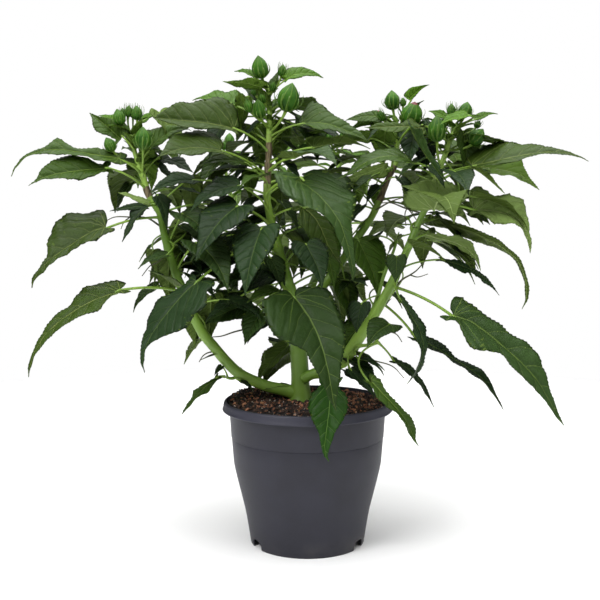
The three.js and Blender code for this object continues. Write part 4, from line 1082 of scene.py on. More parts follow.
# single leaves that bend, narrow or show a tone of their own, by their place in the mass's list
# marks: sway across and lift in thousandths of the blade, left and right width in hundredths of the usual one
trims = {
    "crown-left-upper": {
        0: {"tone": "leafMid", "crease": 1.2, "marks": (
            (-11, -17, -27, -40, -51, -57, -50, -24), (7, -1, -1, 18, 47, 72, 72, 37),
            (47, 31, 47, 25, 98, 25, 52, 114), (61, 61, 78, 60, 72, 81, 25, 25))},
        1: {"tone": "leafMid", "crease": 1.1, "roll": -10, "marks": (
            (-63, -54, -51, -46, -44, -42, -36, -24), (-59, -62, -57, -52, -44, -28, -15, -11),
            (125, 31, 75, 125, 170, 170, 170, 31), (97, 40, 79, 97, 114, 122, 60, 97))},
        2: {"tone": "leafOlive", "crease": 2.4, "roll": 10, "marks": (
            (-29, -31, -21, -11, -11, -12, -13, -10), (1, 10, 6, -3, 3, 15, 23, 18),
            (112, 80, 112, 123, 122, 33, 25, 112), (71, 58, 71, 47, 53, 81, 120, 74))},
        3: {"tone": "leafDark", "roll": -20, "fold": 6, "marks": (
            (7, 9, 12, 4, -4, -25, -44, -53), (-11, 2, 23, 27, 33, 29, 30, 39),
            (90, 25, 117, 90, 106, 104, 90, 87), (108, 155, 101, 72, 59, 62, 80, 87))},
        4: {"tone": "leafPale", "roll": 10, "fold": 6, "marks": (
            (-9, 0, 11, 20, 25, 23, 20, 31), (13, 8, 3, -1, -2, 8, 21, 16),
            (59, 42, 41, 47, 59, 81, 122, 136), (79, 78, 81, 69, 65, 79, 144, 150))},
        5: {"tone": "leafDark", "fold": 6, "marks": (
            (108, 91, 69, 61, 51, 39, 19, -3), (93, 90, 89, 66, 42, 18, -1, -9),
            (83, 44, 74, 85, 83, 79, 90, 105), (99, 71, 88, 90, 99, 109, 128, 156))},
        6: {"tone": "leafDark", "roll": -10, "fold": 6, "marks": (
            (-53, -57, -57, -48, -30, -14, -4, -3), (-30, -16, 0, 1, -2, -8, -14, -13),
            (92, 28, 84, 147, 80, 92, 165, 176), (56, 38, 55, 53, 56, 109, 176, 176))},
        7: {"tone": "leafBack"},
        8: {"tone": "leafMid", "roll": -40, "fold": 28, "marks": (
            (61, 61, 59, 56, 49, 38, 23, 12), (-39, -34, -28, -20, -12, -4, 3, 9),
            (61, 90, 73, 66, 59, 49, 45, 47), (100, 25, 36, 72, 100, 122, 122, 122))},
        9: {"tone": "leafMid", "roll": 30, "marks": (
            (29, 38, 54, 70, 89, 90, 85, 65), (21, 30, 44, 58, 72, 66, 57, 34),
            (97, 45, 81, 92, 105, 97, 170, 167), (161, 164, 132, 111, 97, 99, 95, 58))},
        10: {"tone": "leafDark", "roll": 20, "fold": 6, "marks": (
            (130, 130, 130, 130, 121, 99, 86, 80), (-130, -130, -130, -130, -129, -123, -110, -88),
            (119, 119, 63, 80, 99, 119, 174, 190), (120, 120, 46, 120, 171, 132, 112, 83))},
    },
    "crown-left-lower": {
        0: {"tone": "leafOlive", "crease": 1.6, "fold": 6, "marks": (
            (-8, -11, -10, 0, 7, 8, 13, 20), (-15, 4, 27, 45, 61, 68, 55, 32),
            (72, 86, 99, 66, 72, 49, 70, 149), (99, 32, 99, 85, 101, 88, 101, 161))},
    },
    "crown-center-lower": {
        0: {"tone": "leafDeep", "crease": 0.5, "roll": -30, "fold": 6, "marks": (
            (-17, -6, 2, 14, 18, 9, 1, 1), (-20, 4, 31, 44, 53, 42, 30, 17),
            (82, 108, 108, 82, 54, 51, 59, 102), (125, 152, 106, 85, 53, 47, 49, 100))},
        1: {"tone": "leafDeep", "crease": 0.5, "roll": -20, "marks": (
            (1, 13, 24, 27, 20, 6, -9, -16), (8, 19, 30, 34, 34, 32, 29, 20),
            (29, 114, 134, 145, 74, 88, 92, 124), (40, 82, 77, 77, 80, 76, 87, 96))},
        2: {"tone": "leafOlive", "roll": 20, "fold": 6, "marks": (
            (7, 18, 16, -4, -26, -37, -9, 17), (-24, -16, -19, -35, -57, -86, -98, -84),
            (114, 46, 111, 111, 114, 190, 190, 190), (100, 31, 37, 72, 100, 123, 127, 151))},
        5: {"tone": "leafDark", "crease": 0.6, "roll": 30, "fold": 6, "marks": (
            (-5, -20, -38, -56, -70, -71, -52, -13), (4, 14, 17, 20, 29, 43, 57, 48),
            (74, 27, 50, 74, 91, 74, 62, 112), (106, 92, 154, 154, 154, 106, 25, 69))},
    },
    "low-left-spray": {
        0: {"tone": "leafMid", "roll": 20, "marks": (
            (18, 10, 2, 7, 12, 21, 27, 23), (-40, -24, -4, -12, -18, -26, -22, -4),
            (84, 25, 39, 58, 84, 98, 131, 150), (88, 60, 155, 134, 120, 84, 65, 88))},
    },
    "crown-right-upper": {
        0: {"tone": "leafOlive", "roll": -30, "fold": 6, "marks": (
            (64, 130, 130, 130, 130, 126, 93, 69), (15, 15, 4, -19, -33, -34, -28, -12),
            (113, 44, 113, 25, 63, 113, 149, 149), (120, 25, 25, 76, 120, 149, 149, 149))},
        1: {"tone": "leafOlive", "crease": 1.3, "roll": -10, "fold": 6, "marks": (
            (13, 7, 4, 4, 7, 12, 17, 17), (2, -5, -4, 3, 14, 25, 27, 13),
            (50, 25, 41, 61, 39, 50, 84, 132), (74, 132, 132, 116, 114, 73, 52, 49))},
        2: {"tone": "leafMid", "roll": -40, "fold": 6, "marks": (
            (-1, 6, 11, 14, 12, 7, 8, 6), (-2, -13, -20, -27, -24, -14, -13, -8),
            (91, 28, 91, 126, 154, 106, 75, 82), (148, 148, 45, 84, 111, 148, 177, 177))},
        3: {"tone": "leafDark", "roll": -30, "fold": 28, "marks": (
            (0, -1, -2, -2, 0, 4, 8, 4), (-13, -27, -44, -64, -77, -76, -61, -32),
            (94, 25, 41, 74, 111, 94, 125, 149), (49, 149, 102, 77, 71, 78, 98, 110))},
        4: {"tone": "leafDark", "under": "leafDeep"},
        5: {"tone": "leafMid", "fold": 6, "marks": (
            (10, 7, 4, 6, 14, 26, 27, 5), (23, 53, 62, 54, 33, 3, -28, -24),
            (31, 154, 120, 125, 144, 117, 101, 120), (116, 103, 169, 140, 116, 101, 102, 116))},
        6: {"tone": "leafBack", "under": "leafPale"},
        7: {"tone": "leafPale", "under": "leafPale", "crease": 2.3, "roll": 10, "marks": (
            (13, 21, 24, 40, 55, 57, 47, 26), (-23, 1, 26, 50, 63, 47, 16, 0),
            (61, 25, 70, 77, 61, 35, 61, 126), (97, 97, 64, 94, 118, 97, 56, 126))},
        8: {"tone": "leafDark", "marks": (
            (-3, -8, -13, -18, -24, -25, -18, -5), (33, 19, 4, -11, -26, -32, -27, -14),
            (130, 69, 100, 122, 130, 156, 174, 174), (75, 27, 36, 54, 75, 97, 132, 157))},
        9: {"roll": -20, "marks": (
            (-6, -1, 1, 4, 8, 4, 11, 9), (130, 130, 112, 86, 64, 49, 25, 17),
            (92, 28, 60, 80, 92, 96, 121, 136), (124, 56, 90, 113, 124, 140, 156, 179))},
        13: {"tone": "leafMid"},
    },
    "crown-right-lower": {
        0: {"tone": "leafDark", "roll": 20, "fold": 6, "marks": (
            (-3, -14, -36, -64, -87, -87, -65, -40), (-14, -21, -25, -25, -6, 23, 23, 13),
            (27, 25, 25, 27, 25, 33, 34, 99), (50, 50, 72, 57, 50, 39, 48, 109))},
        1: {"tone": "leafDark", "under": "leafPale", "roll": -10, "fold": 6, "marks": (
            (3, 16, 25, 16, 3, -6, -7, 2), (-4, -29, -45, -36, -22, -4, 6, -3),
            (88, 41, 52, 46, 88, 168, 168, 168), (63, 26, 62, 63, 59, 112, 168, 113))},
        4: {"tone": "leafDark", "roll": -20, "fold": 6, "marks": (
            (11, 20, 29, 35, 40, 35, 22, 8), (-15, -7, 3, 9, 21, 23, 17, 6),
            (106, 55, 76, 96, 106, 140, 140, 140), (46, 29, 46, 46, 51, 55, 46, 57))},
        5: {"tone": "leafDeep", "crease": 1.2, "marks": (
            (9, 27, 34, 34, 35, 32, 18, 1), (14, 29, 27, 22, 23, 20, 4, -7),
            (108, 59, 142, 62, 106, 108, 112, 172), (86, 57, 55, 59, 97, 103, 86, 115))},
        6: {"tone": "leafDark", "marks": (
            (-1, 13, 36, 58, 56, 47, 32, 14), (10, 11, 22, 48, 72, 56, 30, 2),
            (80, 34, 67, 86, 80, 68, 131, 117), (51, 25, 40, 64, 51, 41, 123, 131))},
        9: {"roll": 40, "fold": 6, "marks": (
            (-27, -9, 12, 33, 47, 43, 44, 54), (-19, 1, 36, 49, 55, 31, 9, -6),
            (143, 143, 118, 143, 172, 151, 97, 116), (124, 34, 124, 133, 122, 116, 128, 155))},
    },
    "right-side-spray": {
        0: {"tone": "leafDark", "roll": 10, "marks": (
            (4, 6, 2, -1, 5, 11, 7, 2), (3, 4, 0, -2, 13, 22, 11, 3),
            (52, 36, 52, 49, 37, 72, 114, 114), (49, 26, 49, 26, 40, 78, 102, 114))},
    },
    "low-right-spray": {
        0: {"tone": "leafDark", "roll": 10, "fold": 6, "marks": (
            (6, 24, 35, 40, 40, 35, 26, 16), (10, 30, 45, 49, 47, 23, 5, -7),
            (134, 80, 110, 93, 134, 157, 171, 171), (62, 27, 62, 56, 48, 67, 89, 98))},
        1: {"tone": "leafMid", "roll": 10, "marks": (
            (-97, -115, -127, -116, -79, -13, 35, 41), (130, 125, 111, 91, 53, -9, -72, -85),
            (67, 25, 67, 59, 43, 75, 121, 121), (67, 67, 25, 25, 44, 88, 121, 121))},
    },
    "low-front-spray": {
        0: {"tone": "leafVivid", "crease": 0.6, "marks": (
            (1, 2, 2, -5, -21, -38, -54, -47), (91, 85, 76, 67, 60, 49, 34, 16),
            (79, 44, 93, 101, 89, 67, 66, 79), (94, 36, 83, 97, 94, 85, 115, 129))},
    },
    "crown-center-upper": {
        0: {"tone": "leafMid", "under": "leafOlive", "marks": (
            (11, 9, 5, -7, -22, -26, -19, -12), (-2, 3, 8, 7, -4, -13, -11, -5),
            (84, 27, 80, 85, 79, 84, 92, 95), (40, 166, 127, 91, 77, 96, 130, 163))},
        1: {"tone": "leafOlive", "fold": 28, "marks": (
            (18, 14, 12, 9, 4, -3, -17, -31), (4, -1, -12, -25, -38, -49, -48, -38),
            (31, 96, 106, 107, 115, 156, 190, 190), (97, 31, 37, 62, 97, 176, 190, 190))},
        3: {"tone": "leafOlive", "roll": 10, "marks": (
            (57, 50, 39, 24, 12, 1, -13, -26), (22, 15, 9, 8, 0, -9, -17, -25),
            (112, 128, 133, 136, 159, 190, 190, 190), (161, 46, 59, 110, 161, 190, 190, 190))},
        4: {"roll": 40, "fold": 6, "marks": (
            (130, 130, 130, 130, 130, 120, 90, 71), (-130, -130, -130, -130, -130, -130, -130, -99),
            (85, 63, 73, 105, 131, 165, 187, 190), (103, 94, 92, 91, 84, 54, 113, 190))},
        5: {"roll": 10, "marks": (
            (-49, -50, -44, -53, -62, -68, -77, -77), (62, 69, 78, 70, 62, 53, 43, 31),
            (98, 41, 90, 98, 105, 122, 126, 74), (100, 90, 100, 94, 99, 113, 129, 190))},
        6: {"marks": (
            (79, 80, 77, 76, 76, 79, 83, 89), (68, 64, 64, 57, 53, 45, 34, 31),
            (108, 25, 67, 91, 114, 113, 108, 123), (80, 43, 61, 48, 80, 113, 161, 161))},
        14: {"tone": "leafDark"},
    },
    "crown-middle": {
        0: {"tone": "leafMid", "roll": -10, "fold": 6, "marks": (
            (17, 20, 22, 24, 24, 31, 30, 11), (26, 10, -3, -11, -19, -25, -17, -3),
            (66, 25, 62, 64, 66, 85, 94, 109), (107, 42, 73, 84, 107, 132, 158, 158))},
        1: {"tone": "leafDark", "under": "leafDeep", "roll": -20, "fold": 28, "marks": (
            (7, 9, 11, 14, 19, 25, 31, 22), (-19, -48, -79, -103, -110, -103, -78, -35),
            (60, 25, 52, 90, 60, 60, 108, 81), (27, 107, 70, 60, 77, 115, 131, 130))},
        3: {"tone": "leafBack", "roll": -30, "fold": 6, "marks": (
            (-69, -51, -28, -12, -1, 3, 0, -6), (34, 7, -25, -46, -55, -54, -44, -32),
            (88, 71, 68, 67, 88, 126, 129, 144), (145, 145, 118, 117, 129, 153, 190, 150))},
        7: {"tone": "leafFresh", "roll": 60, "marks": (
            (130, 130, 130, 130, 130, 130, 92, 36), (-130, -130, -130, -130, -130, -88, -43, -10),
            (70, 49, 40, 37, 36, 53, 83, 90), (149, 122, 121, 125, 107, 87, 82, 108))},
    },
}


# leaves tucked between and behind the measured ones, by mass and tone: the same ten numbers
tucked = {
    "crown-center-upper": {
        "leafDark": (
            (0.06, -15, 29, 49, 133, -68, 26, 59, 0.68, -4), (0.71, 81, 3, 80, 139, -51, 26, 60, 0.61, -11),
            (0.06, 5, -34, 44, 162, -9, 26, 57, 0.55, -29), (0.51, -11, 31, 48, 133, -68, 26, 61, 0.59, -4),
            (0.45, 125, 72, 42, -143, -28, 30, 39, 0.62, 0), (0.53, 56, 60, 28, 147, -35, 30, 40, 0.62, 0),
            (0.36, 118, 49, 33, -138, -24, 30, 44, 0.64, 0), (0.7, 28, -11, 44, -42, -11, 24, 64, 0.5, 14),
            (0.28, 140, 31, 32, -168, -34, 30, 49, 0.66, 0), (0.23, 52, 36, 37, 155, -34, 30, 47, 0.66, 0),
            (0.72, 74, 39, 25, -43, 1, 30, 29, 0.6, 10), (0.45, 52, 3, 28, 116, -27, 26, 26, 0.7, 0),
            (0.66, 131, 32, 41, -154, -26, 26, 34, 0.64, 0), (0.23, 79, 24, 42, -100, 12, 26, 53, 0.5, 10),
            (0.21, -187, 23, 29, 31, 4, 26, 49, 0.54, -14),
        ),
        "leafDeep": (
            (0.51, 201, 24, 52, -148, -69, 26, 60, 0.67, 5), (0.65, 109, 8, 74, -162, -58, 26, 60, 0.72, 6),
            (0.36, 47, 51, 33, 155, -28, 30, 41, 0.62, 0), (0.24, 24, 38, 48, -41, -5, 26, 62, 0.5, 24),
            (0.8, 161, 33, 19, -13, 44, 20, 28, 0.6, -20), (0.34, 106, 54, 24, -85, -23, 26, 25, 0.7, 0),
            (0.53, 86, 8, 46, -104, 13, 24, 52, 0.5, 10), (0.15, 45, 27, 26, 162, -7, 26, 42, 0.6, -10),
        ),
        "leafMid": (
            (0.4, 92, 2, 78, 120, -40, 26, 55, 0.69, -16), (0.88, 165, 7, 35, -36, -65, 26, 44, 0.63, -4),
            (0.26, 178, 7, 31, -76, -67, 26, 39, 0.57, -1), (0.87, 87, 47, 14, -35, 71, 16, 31, 0.6, 0),
        ),
        "leafBack": ((0.31, 109, -1, 64, 81, -32, 26, 54, 0.56, -21),),
    },
    "crown-center-lower": {
        "leafDeep": (
            (0.14, 4, 12, 59, 30, -65, 26, 59, 0.71, 5), (0.6, 97, -22, 48, 124, -39, 26, 50, 0.66, 0),
            (0.82, 128, 49, 34, -154, -48, 26, 44, 0.7, 0), (0.66, -157, 4, 72, 6, -24, 30, 51, 0.66, -10),
            (0.51, 143, -30, 49, 63, -13, 26, 53, 0.6, -12), (0.6, 196, -22, 35, 116, -51, 26, 41, 0.72, 0),
            (0.19, 129, -18, 63, 72, -11, 26, 62, 0.78, -40),
        ),
        "leafDark": (
            (0.08, 64, -22, 64, 153, -33, 26, 42, 0.64, -14), (0.37, 97, 40, 41, -35, -65, 26, 39, 0.6, 3),
            (0.37, 47, -11, 48, 155, -21, 26, 57, 0.72, -24), (0.45, -33, -13, 22, 1, -4, 26, 44, 0.5, 0),
            (0.26, -190, -16, 65, 35, -23, 26, 52, 0.6, -8),
            (0.76, -214, -66, 46, 162, -24, 26, 55, 0.72, 0), (0.97, 60, 23, 26, 149, -38, 26, 46, 0.7, 0),
            (0.79, -169, -15, 47, 26, -36, 28, 51, 0.72, -6),
            (0.66, -198, -30, 55, 40, -7, 26, 59, 0.56, -14), (0.5, 60, -16, 31, 155, -38, 26, 43, 0.72, 0),
        ),
        "leafMid": (
            (0.74, 45, 12, 59, -93, -58, 26, 90, 0.62, 0), (0.1, 81, 21, 78, -123, -63, 22, 78, 0.5, 0),
        ),
        "leafBack": (
            (0.54, 137, 65, 28, -164, -41, 26, 54, 0.74, 0), (0.1, 48, -70, 63, 154, -37, 24, 65, 0.62, -10),
        ),
    },
    "crown-middle": {
        "leafDark": (
            (0.77, 162, 37, 31, -58, -71, 26, 57, 0.69, -1), (0.03, -212, -52, 103, 159, 5, 26, 43, 0.8, 0),
            (0.57, 16, 43, 61, -131, -54, 24, 58, 0.7, 0), (0.53, 31, 33, 59, -124, -60, 24, 48, 0.7, 0),
            (0.38, -78, 1, 29, 27, -41, 26, 35, 0.6, 0), (0.74, -94, 36, 33, -60, -25, 30, 39, 0.6, 0),
            (0.9, -102, 22, 30, 55, 37, 20, 25, 0.6, 0), (0.08, -156, 14, 21, 13, -39, 26, 42, 0.6, 0),
            (0.38, -131, -31, 17, -12, -33, 26, 33, 0.7, 0),
        ),
        "leafMid": (
            (0.25, 172, 19, 46, -78, -66, 26, 32, 0.57, 0), (0.47, 194, -35, 35, -113, -61, 26, 34, 0.55, 1),
            (0.03, -225, -43, 46, 173, -52, 26, 79, 0.78, 0),
            (0.03, -230, -60, 104, 156, -44, 24, 48, 0.62, 0),
        ),
        "leafDeep": ((0.46, -141, -12, 33, -6, -26, 26, 42, 0.6, 0),),
    },
    "crown-right-upper": {
        "leafBack": (
            (0.34, 110, -15, 72, -149, -30, 26, 39, 0.52, 18),
            (0.03, 103, -23, 79, -140, -42, 26, 51, 0.65, 12),
        ),
        "leafMid": (
            (0.72, 113, 36, 43, -163, -77, 26, 60, 0.71, 0),
            (0.27, 101, -14, 87, -145, -17, 26, 31, 0.68, 22),
        ),
        "leafDeep": (
            (0.49, 70, 20, 41, -32, -63, 26, 48, 0.71, 5), (0.55, 36, 20, 42, 165, -25, 26, 50, 0.66, 0),
        ),
        "leafPale": ((0.64, 20, -59, 63, -175, 20, 12, 78, 0.66, -52),),
        "leafDark": (
            (0.47, 147, 18, 34, -179, -35, 26, 41, 0.84, 0), (0.49, 54, -3, 31, 92, -28, 26, 32, 0.7, 0),
            (0.72, 61, 47, 39, 61, -36, 24, 36, 0.7, 0), (0.47, 167, 11, 51, 152, -38, 26, 36, 0.74, 0),
            (0.39, 185, 18, 50, -144, -37, 26, 34, 0.7, 0),
        ),
        "leafFresh": ((0.97, 12, 14, 43, -154, -7, 20, 51, 0.5, -20),),
    },
    "crown-right-lower": {
        "leafMid": ((0.7, -37, 18, 41, 152, -69, 26, 48, 0.71, -4),),
        "leafDark": (
            (0.69, 95, 28, 61, -108, -41, 24, 81, 0.5, 0), (0.81, 56, -5, 39, 107, -43, 26, 34, 0.6, 0),
            (0.69, 88, -1, 55, -113, -24, 24, 46, 0.5, 0),
        ),
        "leafDeep": ((0.3, 37, -47, 56, 167, -30, 24, 33, 0.6, 0),),
    },
    "crown-left-upper": {
        "leafDark": (
            (0.23, -12, 38, 60, 88, -70, 26, 57, 0.54, 0), (0.6, 147, 19, 38, -173, -34, 26, 40, 0.6, 0),
            (0.34, 102, 20, 37, -120, -2, 26, 48, 0.5, 8),
        ),
        "leafBack": ((0.97, 93, 34, 52, -121, -50, 26, 63, 0.61, 11),),
        "leafMid": (
            (0.61, 134, 55, 33, -81, -67, 26, 53, 0.64, 5), (0.77, 141, 31, 32, -165, -32, 22, 32, 0.66, 0),
        ),
        "leafDeep": ((0.49, 50, 1, 43, 174, -49, 26, 40, 0.6, 0),),
    },
    "crown-left-lower": {
        "leafBack": (
            (0.18, -38, 24, 41, 144, -71, 26, 61, 0.63, -2), (0.64, 146, 54, 13, 33, -52, 26, 41, 0.66, 0),
        ),
        "leafMid": ((0.08, -5, 21, 6, 123, -65, 26, 38, 0.74, -2),),
        "leafDark": (
            (0.76, 111, -12, 19, -13, -71, 26, 58, 0.65, 0),
            (0.83, 134, -24, 49, -154, -12, 26, 54, 0.65, 26),
            (0.83, -9, 27, 47, 136, -66, 26, 51, 0.67, -5), (0.81, 149, 8, 40, -179, -39, 26, 50, 0.66, 0),
            (0.58, 143, -6, 41, -171, -27, 26, 49, 0.6, 0), (0.64, 79, 10, 36, 70, -37, 26, 41, 0.66, 0),
        ),
        "leafDeep": (
            (0.97, 156, -28, 43, -72, -62, 26, 30, 0.73, 2), (0.96, 142, 14, 44, -167, -28, 26, 46, 0.64, 0),
        ),
    },
    "low-back-spray": {
        "leafDark": ((0.54, -84, -56, 39, -61, 8, 20, 42, 0.5, 0),),
    },
    "low-right-spray": {
        "leafDark": (
            (0.03, 194, -65, 14, 109, -17, 22, 60, 0.46, 0), (0.12, -168, -62, 30, 107, -13, 22, 60, 0.5, 0),
        ),
        "leafDeep": ((0.12, -94, -56, 6, 88, -22, 24, 42, 0.4, 0),),
    },
    "low-left-spray": {
        "leafDark": (
            (0.41, -159, 58, 35, -3, -8, 16, 28, 0.36, 0), (0.47, -95, -11, 15, 66, -19, 14, 22, 0.6, 0),
        ),
    },
    "right-side-spray": {
        "leafDeep": ((0.18, 141, 31, 46, -146, -40, 26, 39, 0.52, 20),),
        "leafMid": ((0.03, 33, -19, 40, 176, -38, 26, 54, 0.74, -14),),
    },
}


def toneFor(name, row):
    at, length = row[0], row[7]
    pick = toneDraw()
    if name.endswith("upper") or name in ("crown-middle", "crown-back-left", "crown-back-right"):
        if at > 0.8 or length < 42:
            return "leafFresh", "leafBackFresh"
        if at > 0.5:
            return ("leafMid" if pick < 0.6 else "leafFresh"), "leafBackFresh"
        return ("leafMid" if pick < 0.45 else "leafDeep"), "leafBack"
    return ("leafMid" if pick < 0.2 else "leafDeep" if pick < 0.65 else "leafDark"), "leafBack"


def growLeaf(name, path, row, trim):
    stalk, midrib = leafRow(path, row)
    tone, under = toneFor(name, row)
    tone, under = trim.get("tone", tone), trim.get("under", under)
    addBlade(leafBags[leafHomes[name]], midrib, row[1] + row[4], row, tone, under, toneDraw, trim)
    radius = grow["petioleThin"] + row[7] * grow["petioleThick"]
    count = max(6, round(row[3] / 4))
    shares = [i / count for i in range(count + 1)]
    points = [alongCurve(stalk, t) for t in shares] + [midrib[1]]
    swollen = [radius * (0.92 + 0.9 * math.exp(-t * row[3] / 5) + 0.18 * math.exp(-(1 - t) * row[3] / 4))
               for t in shares]
    addLine(stalkLines, points, swollen + [radius * 0.7])


for name, mass in masses.items():
    path = stretch(mass)
    for index, row in enumerate(leavesOf(mass)):
        growLeaf(name, path, row, trims.get(name, {}).get(index, {}))
    for tone, rows in tucked.get(name, {}).items():
        for row in rows:
            growLeaf(name, path, row, {"tone": tone})

# the youngest leaves, crowded round the top of each crown
tufts = {
    "low": 0.62, "blade": (11, 34), "petiole": (4, 15), "rise": (22, 66), "width": 0.52,
    # crown: how many leaves, seed
    "crowns": {"crown-center-upper": (15, 401), "crown-middle": (11, 409), "crown-right-upper": (14, 419),
               "crown-left-upper": (14, 431), "crown-back-left": (9, 443), "crown-back-right": (9, 449)},
}
for name, (count, seed) in tufts["crowns"].items():
    path, draw = stretch(masses[name]), seeded(seed)
    between = lambda pair: pair[0] + (pair[1] - pair[0]) * draw()
    for i in range(count):
        rise = between(tufts["rise"])
        at = tufts["low"] + (0.99 - tufts["low"]) * (i + draw()) / count
        row = [at, i * 137.5 + 30 * draw(), rise, between(tufts["petiole"]), 30 * (draw() - 0.5),
               rise - 10 + 30 * (draw() - 0.5), 30 + 40 * draw(), between(tufts["blade"]),
               tufts["width"], 50 * (draw() - 0.5)]
        growLeaf(name, path, row, {"tone": "leafFresh" if draw() < 0.55 else "leafMid"})

for name, bag in leafBags.items():
    piece = meshFrom(bag, name)
    finishPiece(piece, "leaves", *leafPieces[name])
print("leaves ready")


# trunk, boughs and leafy stems with their relief: nodes, scars, ridges and aged patches
wood = {
    "sides": 20, "ringEvery": 2.4, "ridge": 0.022, "lump": 0.035, "nodeSwell": 0.13, "nodeWide": 3.2,
    "collar": 0.34, "collarWide": 9.0, "footFlare": 0.42, "footWide": 11.0, "ringWide": 1.6,
    # painted light on the lower right limb and at the foot, against the shade that falls there: how much, its
    # height, how wide
    "paintedLightLimb": (0.8, 240, 42), "paintedLightFoot": (0.35, 192, 16),
    # painted light on the stems in the crowns: where it starts, and over what height it gains
    "paintedLight": (395, 60),
    # aged patches: stem, lowest and highest z in millimetres
    "aged": (("center", 436, 500), ("right", 410, 446), ("middle", 414, 474), ("left", 418, 446)),
    # rings left by old shoots: stem, z, how far they stand out
    "rings": (("right", 214, 0.16), ("right", 229, 0.12), ("center", 236, 0.05), ("left", 262, 0.05),
              ("left", 247, 0.04), ("center", 286, 0.06)),
}


def nodePlaces(stemName):
    places = []
    for name, mass in masses.items():
        if mass["stem"] != stemName:
            continue
        path = stretch(mass)
        places += [(pointAt(path, row[0]), row[1]) for row in leavesOf(mass) + mass.get("buds", [])]
    return places


def addStem(bag, name, sides):
    path = stemPath(stems[name])
    lengths = pathLengths(path)
    total = lengths[-1]
    count = int(total / wood["ringEvery"])
    places = nodePlaces(name)
    aged = [(low, high) for stem, low, high in wood["aged"] if stem == name]
    rings = [(z, high) for stem, z, high in wood["rings"] if stem == name]
    side = None
    rows = []
    k = 0
    for i in range(count + 1):
        want = total * i / count
        while k < len(path) - 2 and lengths[k + 1] < want:
            k += 1
        share = (want - lengths[k]) / max(1e-9, lengths[k + 1] - lengths[k])
        middle = path[k][0].lerp(path[k + 1][0], share)
        radius = path[k][1] + (path[k + 1][1] - path[k][1]) * share
        along = (path[k + 1][0] - path[k][0]).normalized()
        guess = side or (Vector((1, 0, 0)) if abs(along.z) > 0.9 else Vector((0, 0, 1)))
        side = (guess - along * guess.dot(along)).normalized()
        other = along.cross(side)
        near = [(p, heading) for p, heading in places if (p - middle).length < wood["nodeWide"] * 3]
        swell = sum(math.exp(-((p - middle).length / wood["nodeWide"]) ** 2) for p, heading in near)
        ring = sum(high * math.exp(-((middle.z - z) / wood["ringWide"]) ** 2) for z, high in rings)
        if name == "center":
            collar = wood["footFlare"] * math.exp(-want / wood["footWide"])
        else:
            collar = wood["collar"] * math.exp(-want / wood["collarWide"])
        bark = max([1.0 if low + 8 < middle.z < high - 8 else 0.45 if low - 4 < middle.z < high + 4 else 0.0
                    for low, high in aged] or [0.0])
        tipEase = min(1.0, (total - want) / 6 + 0.35)
        # painted light: the skin is lightened on the crowns' stems, the lower right limb and the foot, where
        # shade falls
        paintedLightPatches = [much * math.exp(-((middle.z - z) / wide) ** 2)
                for much, z, wide in (wood["paintedLightLimb"], wood["paintedLightFoot"])]
        paintedLightPatches[0] *= min(1.0, max(0.0, (middle.x - 10) / 20))
        paintedLight = 0.5 + 0.5 * max(min(1.0, (middle.z - wood["paintedLight"][0]) / wood["paintedLight"][1]), *paintedLightPatches)
        row = []
        for j in range(sides):
            turn = 2 * math.pi * j / sides
            out = side * math.cos(turn) + other * math.sin(turn)
            grain = noise.noise(Vector((out.x * 2.2, out.y * 2.2, out.z * 2.2)) + middle * 0.02)
            lump = noise.noise(middle * 0.09 + out * 0.8)
            facing = sum(max(0.0, out.dot(direction(heading, 0)))
                         * math.exp(-((p - middle).length / wood["nodeWide"]) ** 2) for p, heading in near)
            knot = wood["nodeSwell"] * min(1.4, 0.45 * swell + 1.1 * facing)
            reach = radius * tipEase * (1 + collar + ring + knot + wood["ridge"] * grain * (1 + 2 * bark)
                                        + wood["lump"] * lump)
            row.append(addPoint(bag, middle + out * reach, (0, 0), paintedLight, bark))
        rows.append(row)
    skinRings(bag, rows, "greenStem")


stemBag = newBag()
for name in stems:
    addStem(stemBag, name, wood["sides"] if stems[name][0][3] > 5 else 10)
stemPiece = meshFrom(stemBag, "stems")
finishPiece(stemPiece, "green_stem", "main-stem", "elbow-limb", "right-bough", "middle-bough", "left-bough",
            "back-left-bough", "back-right-bough")
print("stems ready")


